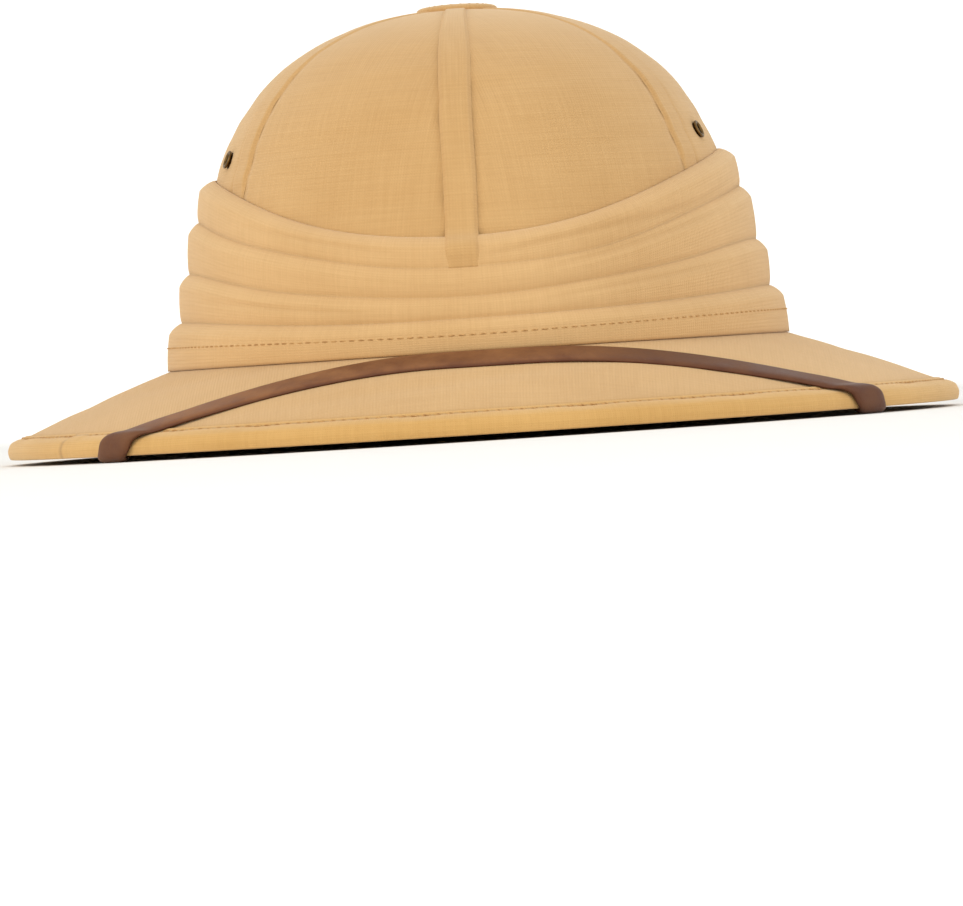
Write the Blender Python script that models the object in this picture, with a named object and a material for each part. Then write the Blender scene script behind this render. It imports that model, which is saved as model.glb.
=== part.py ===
"""Pith helmet: a board shell covered in cotton gores, a pleated band, a bound brim and a leather chin strap.

Metres, +Z up. The front of the helmet faces -Y. The origin is below the centre of the brim's outline, on the
surface that the helmet rests on. Angles round the helmet are taken from the front, positive towards +X.
"""

import math

import bmesh
import bpy
import numpy as np
from mathutils import Matrix, Vector

MM = 0.001

# Crown: cloth outside, at its base, and the shape of its dome
CROWN_WIDTH = 186 * MM
CROWN_LENGTH = 226 * MM
CROWN_RISE = 106.1 * MM
CROWN_TAPER = 0.25
CROWN_SHOULDER = 5.2
CROWN_ROUNDNESS = 2.2

# Brim: from the crown's cloth to the rim, and how far it falls on the way
SIDE_BRIM = 57 * MM
FRONT_BRIM = 53 * MM
BACK_BRIM = 65 * MM
BRIM_FALL = 21.5 * MM
BRIM_CURL = 0.1

# Layers
CROWN_BOARD = 3.0 * MM
BRIM_BOARD = 2.0 * MM
CLOTH = 1.0 * MM
GAP = 0.3 * MM

# Edge binding: a folded strip over the rim, with a narrow flat sole
BINDING_CLOTH = 1.2 * MM
BINDING_WIDTH = 6.5 * MM
BINDING_PROUD = 0.2 * MM
RIM_HEIGHT = 4.4 * MM
SOLE_WIDTH = 2.5 * MM
SOLE_INSET = 0.8 * MM
NOSE_HEIGHT = 2.2 * MM
NOSE_ROUNDING = 0.3
SOLE_CORNER_IN = 0.35
SOLE_CORNER_UP = 0.4

# Puggaree: heights above the crown's base, and how far its pleats stand off the crown
PUGGAREE_SIDE = 57.6 * MM
PUGGAREE_FRONT = 32.6 * MM
PLEAT_STAND = 5.0 * MM
PLEAT_FOLD = 1.2 * MM
PLEAT_CORNER_DROP = 0.2
PLEAT_CORNER_OUT = 0.6
PUGGAREE_DIP = 2.0

# Crown seams and their ribs
GORES = 6
RIB_WIDTH = 10 * MM
RIB_TOP_WIDTH = 7 * MM
RIB_NARROWING = 7
RIB_CLOTH = 1.0 * MM
RIB_FLAT = 0.8
BUTTON_RADIUS = 12.75 * MM
BUTTON_RISE = 1.7 * MM
GORE_TIP_RADIUS = 9 * MM

# Eyelets: their middles lie above the puggaree's upper edge
EYELET_ANGLES = (71, 109, -71, -109)
EYELET_ABOVE_BAND = 7.8 * MM
EYELET_HOLE_RADIUS = 1.75 * MM
EYELET_WALL = 0.4 * MM
EYELET_FLANGE_RADIUS = 3.0 * MM
EYELET_FLANGE = 0.7 * MM
EYELET_SEAT = 0.45 * MM
EYELET_TAIL = 0.5 * MM

# Chin strap: a flat leather band, and the angles where it turns over the rim
STRAP_WIDTH = 12 * MM
STRAP_THICKNESS = 1.4 * MM
STRAP_TURN_LEFT = -43.0
STRAP_TURN_RIGHT = 49.4
STRAP_NOSE_GAP = 0.9 * MM
STRAP_SOLE_GAP = 0.5 * MM
STRAP_SQUARENESS = 0.7
STRAP_END_ANGLE = 80
STRAP_END_INSET = 8 * MM
STRAP_TAIL = 7 * MM
PIN_RADIUS = 1.5 * MM
PIN_HEAD_RADIUS = 4.0 * MM
PIN_HEAD = 1.2 * MM

# How finely the shapes are cut
COLUMNS = 54
ROUND_SIDES = 12
BUTTON_SIDES = 24
STRAP_TOP_STATIONS = 14
STRAP_WRAP_STATIONS = 8
STRAP_UNDER_STATIONS = 8

# Rows on the crown, as shares of its rise, and how near to one a rib's foot or top may come
CROWN_ROWS = (0.0, 0.24, 0.45, 0.62, 0.75, 0.86, 0.94, 0.985)
RIB_FOOT_CLEAR = 0.03
RIB_TOP_CLEAR = 0.002
# The row half way out on the brim, where a search on the brim starts and ends, and how often a search halves
BRIM_MIDDLE = 0.5
BRIM_SEARCH = (-0.3, 1.3)
HALVINGS = 50
# A gore's edges are no longer spread where the crown has narrowed to this share of its width
GORE_NARROWEST = 0.08

# The pleats from the top down. side and front: the height of the pleat's upper fold, as shares of
# PUGGAREE_SIDE and PUGGAREE_FRONT. upper and lower: how far it stands off there and at its foot, as shares of
# PLEAT_STAND.
PLEATS = (
    {"side": 1.000, "front": 1.000, "upper": 0.86, "lower": 0.54},
    {"side": 0.769, "front": 0.693, "upper": 0.98, "lower": 0.55},
    {"side": 0.486, "front": 0.439, "upper": 1.00, "lower": 0.56},
    {"side": 0.229, "front": 0.209, "upper": 1.18, "lower": 0.98},
)

# The cap's section from the axis round to it again, as shares of BUTTON_RADIUS and of BUTTON_RISE
BUTTON_SECTION = (
    {"radius": 0.0, "rise": 1.0},
    {"radius": 0.5, "rise": 0.98},
    {"radius": 0.84, "rise": 0.86},
    {"radius": 1.0, "rise": 0.5},
    {"radius": 1.0, "rise": 0.0},
    {"radius": 0.6, "rise": 0.0},
    {"radius": 0.0, "rise": 0.0},
)
# Corners of the eyelet's flange and of the pin's head
FLANGE_SHOULDER = 0.4
FLANGE_EDGE = 0.5
PIN_HEAD_EDGE = 0.5
PIN_HEAD_FLAT = 0.8
# Rows of the puggaree's inner face, as shares of its height, and the strap's points round the crown's front
PUGGAREE_ROWS = (0.35, 0.7, 1.0)
STRAP_FRONT_POINTS = 5

# Worked out from the sizes above
CROWN_A = CROWN_WIDTH / 2
CROWN_B = CROWN_LENGTH / 2
BRIM_A = CROWN_A + SIDE_BRIM
BRIM_B = CROWN_B + (FRONT_BRIM + BACK_BRIM) / 2
CROWN_Y = (FRONT_BRIM - BACK_BRIM) / 2
CROWN_Z = RIM_HEIGHT + BRIM_FALL
BOARD_TOP = -CLOTH - GAP
BOARD_UNDER = BOARD_TOP - BRIM_BOARD
LINING_TOP = BOARD_UNDER - GAP
LINING_UNDER = LINING_TOP - CLOTH
BINDING_UNDER = BOARD_UNDER - GAP - BINDING_CLOTH
HEM_STAND = PLEATS[-1]["lower"] * PLEAT_STAND


def vectors(x, y, z):
    """One array of points from coordinates that may be numbers or arrays."""
    return np.stack(np.broadcast_arrays(x, y, z), axis=-1).astype(float)


def unit(v):
    return v / np.linalg.norm(v, axis=-1, keepdims=True)


def crown_share(u):
    """The crown's half width at the share u of its rise, as a share of its half width at the base."""
    inside = np.clip(1 - np.power(u, CROWN_SHOULDER), 0, None)
    return (1 - CROWN_TAPER * u) * inside ** (1 / CROWN_ROUNDNESS)


def crown_point(angle, u, offset=0.0):
    """The crown's cloth at an angle and a share of its rise, moved along its normal by offset."""
    angle, u = np.broadcast_arrays(np.asarray(angle, float), np.asarray(u, float))
    inside = np.clip(1 - np.power(u, CROWN_SHOULDER), 1e-9, None)
    bend = -CROWN_SHOULDER * np.power(u, CROWN_SHOULDER - 1) / CROWN_ROUNDNESS
    slope = -CROWN_TAPER * inside ** (1 / CROWN_ROUNDNESS)
    slope = slope + (1 - CROWN_TAPER * u) * bend * inside ** (1 / CROWN_ROUNDNESS - 1)
    share = crown_share(u)
    point = vectors(
        CROWN_A * share * np.sin(angle),
        CROWN_Y - CROWN_B * share * np.cos(angle),
        CROWN_Z + CROWN_RISE * u,
    )
    normal = vectors(
        CROWN_B * CROWN_RISE * np.sin(angle),
        -CROWN_A * CROWN_RISE * np.cos(angle),
        -CROWN_A * CROWN_B * slope,
    )
    return point + np.asarray(offset)[..., None] * unit(normal)


def crown_level(reach):
    """The share of the rise where crown_share has fallen to reach, found by halving."""
    reach = np.asarray(reach, float)
    low, high = np.zeros_like(reach), np.ones_like(reach)
    for _ in range(HALVINGS):
        middle = (low + high) / 2
        outside = crown_share(middle) > reach
        low = np.where(outside, middle, low)
        high = np.where(outside, high, middle)
    return (low + high) / 2


def crown_level_at_radius(angle, radius):
    """The share of the rise where the crown at this angle is radius away from its axis."""
    return crown_level(radius / np.hypot(CROWN_A * np.sin(angle), CROWN_B * np.cos(angle)))


def brim_point(angle, s, offset=0.0):
    """The brim's upper face from the crown (s = 0) to the rim (s = 1), moved along its normal by offset."""
    angle, s = np.broadcast_arrays(np.asarray(angle, float), np.asarray(s, float))
    a = CROWN_A + (BRIM_A - CROWN_A) * s
    b = CROWN_B + (BRIM_B - CROWN_B) * s
    fall = BRIM_FALL * ((1 - BRIM_CURL) * s + BRIM_CURL * s * s)
    steep = BRIM_FALL * ((1 - BRIM_CURL) + 2 * BRIM_CURL * s)
    point = vectors(a * np.sin(angle), CROWN_Y * (1 - s) - b * np.cos(angle), CROWN_Z - fall)
    outward = vectors(
        (BRIM_A - CROWN_A) * np.sin(angle),
        -CROWN_Y - (BRIM_B - CROWN_B) * np.cos(angle),
        -steep,
    )
    around = vectors(a * np.cos(angle), b * np.sin(angle), 0.0)
    normal = unit(np.cross(outward, around))
    return point + np.asarray(offset)[..., None] * normal


def brim_width(angle):
    """How wide the brim is at an angle, measured level."""
    span = brim_point(angle, 1.0) - brim_point(angle, 0.0)
    return np.hypot(span[..., 0], span[..., 1])


def brim_inset(angle, distance):
    """The place s on the brim that lies distance inside the rim."""
    return 1 - distance / brim_width(angle)


def brim_outset(angle, distance):
    """The place s on the brim that lies distance outside the crown's cloth."""
    return distance / brim_width(angle)


def brim_place(x, y):
    """The angle and s of the brim's point above a level position, found by halving s."""
    low, high = (np.full_like(x, end) for end in BRIM_SEARCH)
    for _ in range(HALVINGS):
        s = (low + high) / 2
        a = CROWN_A + (BRIM_A - CROWN_A) * s
        b = CROWN_B + (BRIM_B - CROWN_B) * s
        beyond = (x / a) ** 2 + ((y - CROWN_Y * (1 - s)) / b) ** 2 > 1
        low = np.where(beyond, s, low)
        high = np.where(beyond, high, s)
    return np.arctan2(x / a, -(y - CROWN_Y * (1 - s)) / b), s


def rim_outward(angle):
    """The level direction out of the brim's outline."""
    return unit(vectors(BRIM_B * np.sin(angle), -BRIM_A * np.cos(angle), 0.0))


def rim_point(angle, out, height):
    """A point by the rim: out from its outline, at a height above the sole."""
    base = brim_point(angle, 1.0)
    base[..., 2] = height
    return base + np.asarray(out)[..., None] * rim_outward(angle)


def columns():
    return np.linspace(0, 2 * math.pi, COLUMNS, endpoint=False)


def make_object(name, mesh, material, parent):
    item = bpy.data.objects.new(name, mesh)
    mesh.materials.append(material)
    bpy.context.scene.collection.objects.link(item)
    item.parent = parent
    return item


def finish_mesh(name, work, smooth_degrees=35):
    bmesh.ops.remove_doubles(work, verts=work.verts, dist=1e-7)
    bmesh.ops.recalc_face_normals(work, faces=work.faces)
    mesh = bpy.data.meshes.new(name)
    work.to_mesh(mesh)
    work.free()
    mesh.shade_smooth()
    mesh.set_sharp_from_angle(angle=math.radians(smooth_degrees))
    return mesh


def loft(name, loops, ring):
    """A solid through loops of points, one a station. A ring joins its ends, otherwise both are capped."""
    work = bmesh.new()
    rows = [[work.verts.new(point) for point in loop] for loop in loops]
    size = len(rows[0])
    pairs = list(zip(rows, rows[1:] + rows[:1]))
    for here, there in pairs if ring else pairs[:-1]:
        for i in range(size):
            j = (i + 1) % size
            work.faces.new((here[i], here[j], there[j], there[i]))
    if not ring:
        for cap in (rows[0], rows[-1]):
            for i in range(size // 2 - 1):
                work.faces.new((cap[i], cap[i + 1], cap[size - 2 - i], cap[size - 1 - i]))
    return finish_mesh(name, work)


def turned_ring(name, sections):
    """A solid whose section runs from one point on the axis, round the outside, to another on the axis."""
    work = bmesh.new()
    rows = [[work.verts.new(point) for point in section] for section in sections]
    for here, there in zip(rows, rows[1:] + rows[:1]):
        for i in range(len(here) - 1):
            work.faces.new((here[i], here[i + 1], there[i + 1], there[i]))
    return finish_mesh(name, work)


def around(rows):
    """Turns rows, each an array of points round the helmet, into one loop for each station."""
    return np.stack(rows, axis=1)


def make_shell(material, parent):
    """Crown and brim board in one: down the outside, round the rim and back up the inside."""
    t = columns()
    under = BOARD_TOP - CROWN_BOARD
    rim = brim_inset(t, GAP + BINDING_CLOTH)
    corner = brim_outset(t, -CLOTH)
    inner_corner = brim_outset(t, under + GAP)
    rows = [crown_point(t, 1.0, BOARD_TOP)]
    rows += [crown_point(t, u, BOARD_TOP) for u in CROWN_ROWS[:0:-1]]
    rows += [brim_point(t, s, BOARD_TOP) for s in (corner, BRIM_MIDDLE, rim)]
    rows += [brim_point(t, s, BOARD_UNDER) for s in (rim, BRIM_MIDDLE, inner_corner)]
    rows += [crown_point(t, u, under) for u in CROWN_ROWS[1:]]
    rows += [crown_point(t, 1.0, under)]
    return make_object("shell", turned_ring("shell", around(rows)), material, parent)


def gore_columns(first, last, u):
    """The angles across one gore at one height, with half a gap left free at each seam."""
    edge = GAP / 2 / np.hypot(CROWN_A, CROWN_B) / max(float(crown_share(u)), GORE_NARROWEST)
    return np.linspace(first + edge, last - edge, COLUMNS // GORES + 1)


def make_gores(material, parent):
    """The crown's cloth in equal gores, from the brim to a small opening under the top button."""
    made = []
    for k in range(GORES):
        first = 2 * math.pi * k / GORES
        last = 2 * math.pi * (k + 1) / GORES
        outer, inner = [], []
        for u in CROWN_ROWS:
            t = gore_columns(first, last, u)
            outer.append(crown_point(t, u))
            inner.append(crown_point(t, u, -CLOTH))
        t = gore_columns(first, last, CROWN_ROWS[-1])
        tip = crown_level_at_radius(t, GORE_TIP_RADIUS)
        outer.append(crown_point(t, tip))
        inner.append(crown_point(t, tip, -CLOTH))
        loops = around(outer + inner[::-1])
        name = f"crown_panel_{k + 1}"
        made.append(make_object(name, loft(name, loops, ring=False), material, parent))
    return made


def pleat_height(pleat, angle):
    """The height of a pleat's upper fold above the crown's base: high at the sides, low at front and back."""
    rise = np.abs(np.sin(angle)) ** PUGGAREE_DIP
    side = pleat["side"] * PUGGAREE_SIDE
    front = pleat["front"] * PUGGAREE_FRONT
    return front + (side - front) * rise


def puggaree_outside(angle):
    """The puggaree's outer face from its top down: heights above the crown's base, each with a stand-off."""
    face = []
    for k, pleat in enumerate(PLEATS):
        top = pleat_height(pleat, angle)
        before = PLEATS[k - 1]["lower"] * PLEAT_STAND if k else GAP
        stand = pleat["upper"] * PLEAT_STAND
        if k:
            face.append((top, before))
        face.append((top - PLEAT_CORNER_DROP * PLEAT_FOLD, before + PLEAT_CORNER_OUT * (stand - before)))
        face.append((top - PLEAT_FOLD, stand))
    return face


def make_puggaree(material, parent):
    """A closed band: pleats outside, the crown's own shape inside, and a hem that lies on the brim."""
    t = columns()
    rows = [crown_point(t, height / CROWN_RISE, stand) for height, stand in puggaree_outside(t)]
    rows.append(brim_point(t, brim_outset(t, HEM_STAND), GAP))
    rows.append(brim_point(t, brim_outset(t, GAP), GAP))
    top = pleat_height(PLEATS[0], t)
    for share in PUGGAREE_ROWS:
        rows.append(crown_point(t, share * top / CROWN_RISE, GAP))
    return make_object("puggaree", loft("puggaree", around(rows), ring=True), material, parent)


def rib_loop(angle, level, stand, width):
    """One loop across a rib. level gives the share of the crown's rise at each angle across it."""
    share = float(crown_share(level(angle)))
    speed = share * math.hypot(CROWN_A * math.cos(angle), CROWN_B * math.sin(angle))
    across = angle + np.array([-0.5, 0.0, 0.5]) * width / speed
    chamfer = angle + np.array([-0.5, 0.0, 0.5]) * RIB_FLAT * width / speed
    over = crown_point(chamfer, level(chamfer), stand + RIB_CLOTH)
    under = crown_point(across, level(across), stand)
    return np.concatenate([over, under[::-1]])


def rib_width(u):
    """A rib narrows over the top seventh of the crown's rise."""
    return RIB_TOP_WIDTH + (RIB_WIDTH - RIB_TOP_WIDTH) * min(1.0, RIB_NARROWING * (1 - u))


def rib_on_crown(angle, clear):
    """Loops from the top button down to a foot that stays clear above the puggaree's upper edge."""
    def top(t):
        return crown_level_at_radius(t, BUTTON_RADIUS + GAP)

    def foot(t):
        return (pleat_height(PLEATS[0], t) + clear) / CROWN_RISE

    loops = [rib_loop(angle, top, GAP, RIB_TOP_WIDTH)]
    for u in CROWN_ROWS[::-1]:
        if float(foot(angle)) + RIB_FOOT_CLEAR < u < float(top(angle)) - RIB_TOP_CLEAR:
            loops.append(rib_loop(angle, lambda t: np.full_like(t, u), GAP, rib_width(u)))
    loops.append(rib_loop(angle, foot, GAP, RIB_WIDTH))
    return loops


def rib_over_pleat(angle):
    """Loops that carry the front rib out over the uppermost pleat, to tuck in above the next one."""
    first, second = PLEATS[0], PLEATS[1]
    upper = first["upper"] * PLEAT_STAND + GAP
    lower = first["lower"] * PLEAT_STAND + 2 * GAP
    steps = (
        (first, GAP, upper - PLEAT_FOLD),
        (first, -PLEAT_FOLD, upper),
        (second, GAP, lower),
    )
    return [
        rib_loop(angle, lambda t: (pleat_height(pleat, t) + rise) / CROWN_RISE, stand, RIB_WIDTH)
        for pleat, rise, stand in steps
    ]


def make_ribs(material, parent):
    """A raised strip over each seam. The front one runs on over the uppermost pleat."""
    for k in range(GORES):
        angle = 2 * math.pi * k / GORES
        front = k == 0
        name = "crown_rib_front" if front else f"crown_rib_{k + 1}"
        loops = rib_on_crown(angle, 3 * PLEAT_FOLD if front else 2 * GAP)
        if front:
            loops += rib_over_pleat(angle)
        make_object(name, loft(name, loops, ring=False), material, parent)


def make_button(material, parent):
    """A low round cap on the crown's top: its underside follows the gores, its top is domed."""
    t = np.linspace(0, 2 * math.pi, BUTTON_SIDES, endpoint=False)

    def cap_row(share, rise):
        if share == 0:
            base = crown_point(t, 1.0)
        else:
            base = crown_point(t, crown_level_at_radius(t, share * BUTTON_RADIUS))
        base[:, 2] += GAP + rise * BUTTON_RISE
        return base

    rows = [cap_row(row["radius"], row["rise"]) for row in BUTTON_SECTION]
    return make_object("top_button", turned_ring("top_button", around(rows)), material, parent)


def make_brim_cloth(name, over, under, start, material, parent):
    """A ring of cloth on one face of the brim, from near the crown to the binding's border."""
    t = columns()
    end = brim_inset(t, BINDING_WIDTH + GAP)
    places = [brim_outset(t, start), BRIM_MIDDLE, end]
    rows = [brim_point(t, s, over) for s in places]
    rows += [brim_point(t, s, under) for s in places[::-1]]
    return make_object(name, loft(name, around(rows), ring=True), material, parent)


def make_binding(material, parent):
    """A folded strip round the rim: upper arm, rounded nose, a narrow flat sole and the lower arm."""
    t = columns()
    border = brim_inset(t, BINDING_WIDTH)
    shoulder = brim_inset(t, BINDING_CLOTH)
    rows = [
        brim_point(t, border, BINDING_PROUD),
        brim_point(t, shoulder, BINDING_PROUD),
        rim_point(t, -NOSE_ROUNDING * BINDING_CLOTH, RIM_HEIGHT - NOSE_ROUNDING * BINDING_CLOTH),
        rim_point(t, 0.0, NOSE_HEIGHT),
        rim_point(t, -SOLE_CORNER_IN * SOLE_INSET, SOLE_CORNER_UP * NOSE_HEIGHT),
        rim_point(t, -SOLE_INSET, 0.0),
        rim_point(t, -SOLE_INSET - SOLE_WIDTH, 0.0),
        brim_point(t, border, BINDING_UNDER),
        brim_point(t, border, BINDING_UNDER + BINDING_CLOTH),
        brim_point(t, shoulder, BINDING_UNDER + BINDING_CLOTH),
        brim_point(t, shoulder, BINDING_PROUD - BINDING_CLOTH),
        brim_point(t, border, BINDING_PROUD - BINDING_CLOTH),
    ]
    return make_object("edge_binding", loft("edge_binding", around(rows), ring=True), material, parent)


def taut_line(turn_left, turn_right):
    """The strap's middle line seen from above: straight from each turn to the crown's front, and round it."""
    stand = HEM_STAND + GAP + STRAP_WIDTH / 2
    a, b = CROWN_A + stand, CROWN_B + stand
    touch = []
    for turn in (turn_left, turn_right):
        x, y = turn[0] / a, -(turn[1] - CROWN_Y) / b
        reach = math.hypot(x, y)
        lean = math.atan2(x, y)
        touch.append(lean - math.copysign(math.acos(1 / reach), lean))
    arc = np.linspace(touch[0], touch[1], STRAP_FRONT_POINTS)
    front = np.stack([a * np.sin(arc), CROWN_Y - b * np.cos(arc)], axis=1)
    return np.concatenate([[turn_left[:2]], front, [turn_right[:2]]])


def spread_along(line, count):
    """count points at even steps along a line."""
    along = np.concatenate([[0], np.cumsum(np.linalg.norm(np.diff(line, axis=0), axis=1))])
    at = np.linspace(0, along[-1], count)
    return np.stack([np.interp(at, along, line[:, k]) for k in range(line.shape[1])], axis=1)


def shifted(line, distance):
    """A level line moved sideways, to its left where distance is positive."""
    ahead = np.gradient(line, axis=0)
    ahead = ahead / np.linalg.norm(ahead, axis=1, keepdims=True)
    return line + distance * np.stack([-ahead[:, 1], ahead[:, 0]], axis=1)


def rim_crossing(start, direction):
    """The angle on the rim where a level ray from inside meets it."""
    p = np.array([start[0] / BRIM_A, start[1] / BRIM_B])
    d = np.array([direction[0] / BRIM_A, direction[1] / BRIM_B])
    half, whole = p @ d, d @ d
    step = (-half + math.sqrt(half * half - whole * (p @ p - 1))) / whole
    x, y = p + step * d
    return math.atan2(x, -y)


def strap_half(front, side, sign):
    """One half of one edge of the strap, from the crown's front round the rim to its end below the brim.

    front holds level points from the middle outwards. side is which edge of the strap it is, as a share of
    its width. Returns the inner and outer faces as two lists of points with matching stations.
    """
    heading = front[-1] - front[-2]
    heading = heading / np.linalg.norm(heading)
    crossing = rim_crossing(front[-2], heading)
    edge_dir = unit(vectors(BRIM_A * math.cos(crossing), BRIM_B * math.sin(crossing), 0.0))[:2] * sign
    lean = float(heading @ edge_dir)
    top_clear = BINDING_PROUD + GAP
    inset = SOLE_INSET + SOLE_WIDTH
    stop = rim_point(crossing, -inset, 0.0)[:2]
    line = spread_along(np.concatenate([front[:-1], [stop]]), STRAP_TOP_STATIONS)
    angle, s = brim_place(line[:, 0], line[:, 1])
    inner = list(brim_point(angle, s, top_clear))
    outer = list(brim_point(angle, s, top_clear + STRAP_THICKNESS))

    wrap_length = math.pi * (RIM_HEIGHT / 2 + STRAP_THICKNESS)
    advance = wrap_length * lean / math.sqrt(1 - lean * lean)
    speed = math.hypot(BRIM_A * math.cos(crossing), BRIM_B * math.sin(crossing))
    for k in range(1, STRAP_WRAP_STATIONS + 1):
        share = k / STRAP_WRAP_STATIONS
        t = crossing + sign * share * advance / speed
        for face, extra in ((inner, 0.0), (outer, STRAP_THICKNESS)):
            above = brim_point(t, brim_inset(t, inset), top_clear + extra)
            below = rim_point(t, -inset, -STRAP_SOLE_GAP - extra)
            middle = (above + below) / 2
            reach = inset + STRAP_NOSE_GAP + extra
            turn = math.pi * share
            up = math.copysign(abs(math.cos(turn)) ** STRAP_SQUARENESS, math.cos(turn))
            out = abs(math.sin(turn)) ** STRAP_SQUARENESS
            face.append(middle + up * (above - below) / 2 + out * reach * rim_outward(t))

    start = inner[-1][:2]
    goal_angle = sign * math.radians(STRAP_END_ANGLE)
    goal = brim_point(goal_angle, brim_outset(goal_angle, STRAP_END_INSET))[:2]
    turn_angle = math.radians(STRAP_TURN_RIGHT if sign > 0 else STRAP_TURN_LEFT)
    middle_start = rim_point(turn_angle, -inset, 0.0)[:2]
    along = (goal - middle_start) / np.linalg.norm(goal - middle_start)
    beside = np.array([along[1], -along[0]])
    end = goal + along * STRAP_TAIL + beside * side * sign * STRAP_WIDTH
    line = spread_along(np.array([start, end]), STRAP_UNDER_STATIONS + 1)[1:]
    angle, s = brim_place(line[:, 0], line[:, 1])
    inner += list(brim_point(angle, s, BINDING_UNDER - GAP))
    outer += list(brim_point(angle, s, BINDING_UNDER - GAP - STRAP_THICKNESS))
    return inner, outer


def strap_end_matrix(sign):
    """Where a strap end is pinned: on the brim, with Z along the brim's normal."""
    angle = sign * math.radians(STRAP_END_ANGLE)
    s = brim_outset(angle, STRAP_END_INSET)
    return seat_matrix(brim_point(angle, s), brim_point(angle, s, 1.0) - brim_point(angle, s))


def seat_matrix(point, normal):
    turn = Vector(normal).to_track_quat("Z", "Y").to_matrix().to_4x4()
    return Matrix.Translation(Vector(point)) @ turn


def make_strap(material, parent):
    """A flat band of leather: over the brim's front, round the rim at both sides and back to its two pins."""
    left = rim_point(math.radians(STRAP_TURN_LEFT), 0.0, 0.0)
    right = rim_point(math.radians(STRAP_TURN_RIGHT), 0.0, 0.0)
    middle = taut_line(left, right)
    centre = len(middle) // 2
    faces = {}
    for side in (-0.5, 0.5):
        line = shifted(middle, side * STRAP_WIDTH)
        for sign, half in ((-1, line[centre::-1]), (1, line[centre:])):
            faces[side, sign] = strap_half(half, side, sign)
    loops = []
    for sign in (-1, 1):
        stations = range(len(faces[0.5, sign][0]))
        # The left half runs from its end to the middle, whose station comes once, from the right half
        order = list(stations)[:0:-1] if sign < 0 else list(stations)
        for k in order:
            loops.append([
                faces[0.5, sign][1][k],
                faces[-0.5, sign][1][k],
                faces[-0.5, sign][0][k],
                faces[0.5, sign][0][k],
            ])
    lowest = min(point[2] for loop in loops for point in loop)
    return make_object("chin_strap", loft("chin_strap", loops, ring=False), material, parent), lowest


def turned_mesh(name, profile, closed, sides=ROUND_SIDES):
    """A turned solid about Z through (radius, height) pairs. A closed profile leaves a hole on the axis."""
    t = np.linspace(0, 2 * math.pi, sides, endpoint=False)
    sections = [[(r * math.cos(a), r * math.sin(a), h) for r, h in profile] for a in t]
    return loft(name, sections, ring=True) if closed else turned_ring(name, sections)


def make_cutter(name, radius, low, high, place, parent):
    profile = [(0, high), (radius, high), (radius, low), (0, low)]
    cutter = bpy.data.objects.new(name, turned_mesh(name, profile, closed=False))
    bpy.context.scene.collection.objects.link(cutter)
    cutter.matrix_world = place
    cutter.parent = parent
    cutter.hide_render = True
    cutter.display_type = "WIRE"
    return cutter


def cut(item, cutter):
    modifier = item.modifiers.new(cutter.name, "BOOLEAN")
    modifier.operation = "DIFFERENCE"
    modifier.solver = "EXACT"
    modifier.object = cutter


def make_eyelets(gores, shell, material, parent):
    """Flanged tubes through the cloth and the board."""
    barrel = EYELET_HOLE_RADIUS + EYELET_WALL
    tail = -EYELET_SEAT - CLOTH - GAP - CROWN_BOARD - EYELET_TAIL
    profile = [
        (EYELET_HOLE_RADIUS, EYELET_FLANGE),
        (EYELET_FLANGE_RADIUS - FLANGE_SHOULDER * EYELET_FLANGE, EYELET_FLANGE),
        (EYELET_FLANGE_RADIUS, FLANGE_EDGE * EYELET_FLANGE),
        (EYELET_FLANGE_RADIUS, 0.0),
        (barrel, 0.0),
        (barrel, tail),
        (EYELET_HOLE_RADIUS, tail),
    ]
    mesh = turned_mesh("eyelet", profile, closed=True)
    for k, degrees in enumerate(EYELET_ANGLES):
        angle = math.radians(degrees)
        u = (pleat_height(PLEATS[0], angle) + EYELET_ABOVE_BAND) / CROWN_RISE
        seat = crown_point(angle, u, EYELET_SEAT)
        place = seat_matrix(seat, crown_point(angle, u, 1.0) - crown_point(angle, u))
        eyelet = bpy.data.objects.new(f"eyelet_{k + 1}", mesh)
        bpy.context.scene.collection.objects.link(eyelet)
        eyelet.matrix_world = place
        eyelet.parent = parent
        cutter = make_cutter(f"eyelet_cutter_{k + 1}", barrel + GAP, tail, EYELET_FLANGE, place, parent)
        gore = int((degrees % 360) // (360 / GORES))
        cut(gores[gore], cutter)
        cut(shell, cutter)
    mesh.materials.append(material)


def make_pins(strap, lining, shell, material, parent):
    """A plain headed pin at each end of the strap, up through the lining into the brim's board."""
    head_top = BINDING_UNDER - GAP - STRAP_THICKNESS - GAP
    profile = [
        (0, BOARD_TOP - GAP),
        (PIN_RADIUS, BOARD_TOP - GAP),
        (PIN_RADIUS, head_top),
        (PIN_HEAD_RADIUS, head_top),
        (PIN_HEAD_RADIUS, head_top - PIN_HEAD_EDGE * PIN_HEAD),
        (PIN_HEAD_FLAT * PIN_HEAD_RADIUS, head_top - PIN_HEAD),
        (0, head_top - PIN_HEAD),
    ]
    mesh = turned_mesh("strap_pin", profile, closed=False)
    mesh.materials.append(material)
    for side, sign in (("left", -1), ("right", 1)):
        place = strap_end_matrix(sign)
        pin = bpy.data.objects.new(f"strap_pin_{side}", mesh)
        bpy.context.scene.collection.objects.link(pin)
        pin.matrix_world = place
        pin.parent = parent
        cutter = make_cutter(f"pin_cutter_{side}", PIN_RADIUS + GAP, head_top - PIN_HEAD, 0, place, parent)
        for item in (strap, lining, shell):
            cut(item, cutter)


def make_material(name, colour, roughness, metallic=0.0):
    material = bpy.data.materials.new(name)
    material.use_nodes = True
    shader = material.node_tree.nodes["Principled BSDF"]
    shader.inputs["Base Color"].default_value = (*colour, 1.0)
    shader.inputs["Roughness"].default_value = roughness
    shader.inputs["Metallic"].default_value = metallic
    material.diffuse_color = (*colour, 1.0)
    return material


def clear_scene():
    for item in list(bpy.data.objects):
        bpy.data.objects.remove(item, do_unlink=True)


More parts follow.
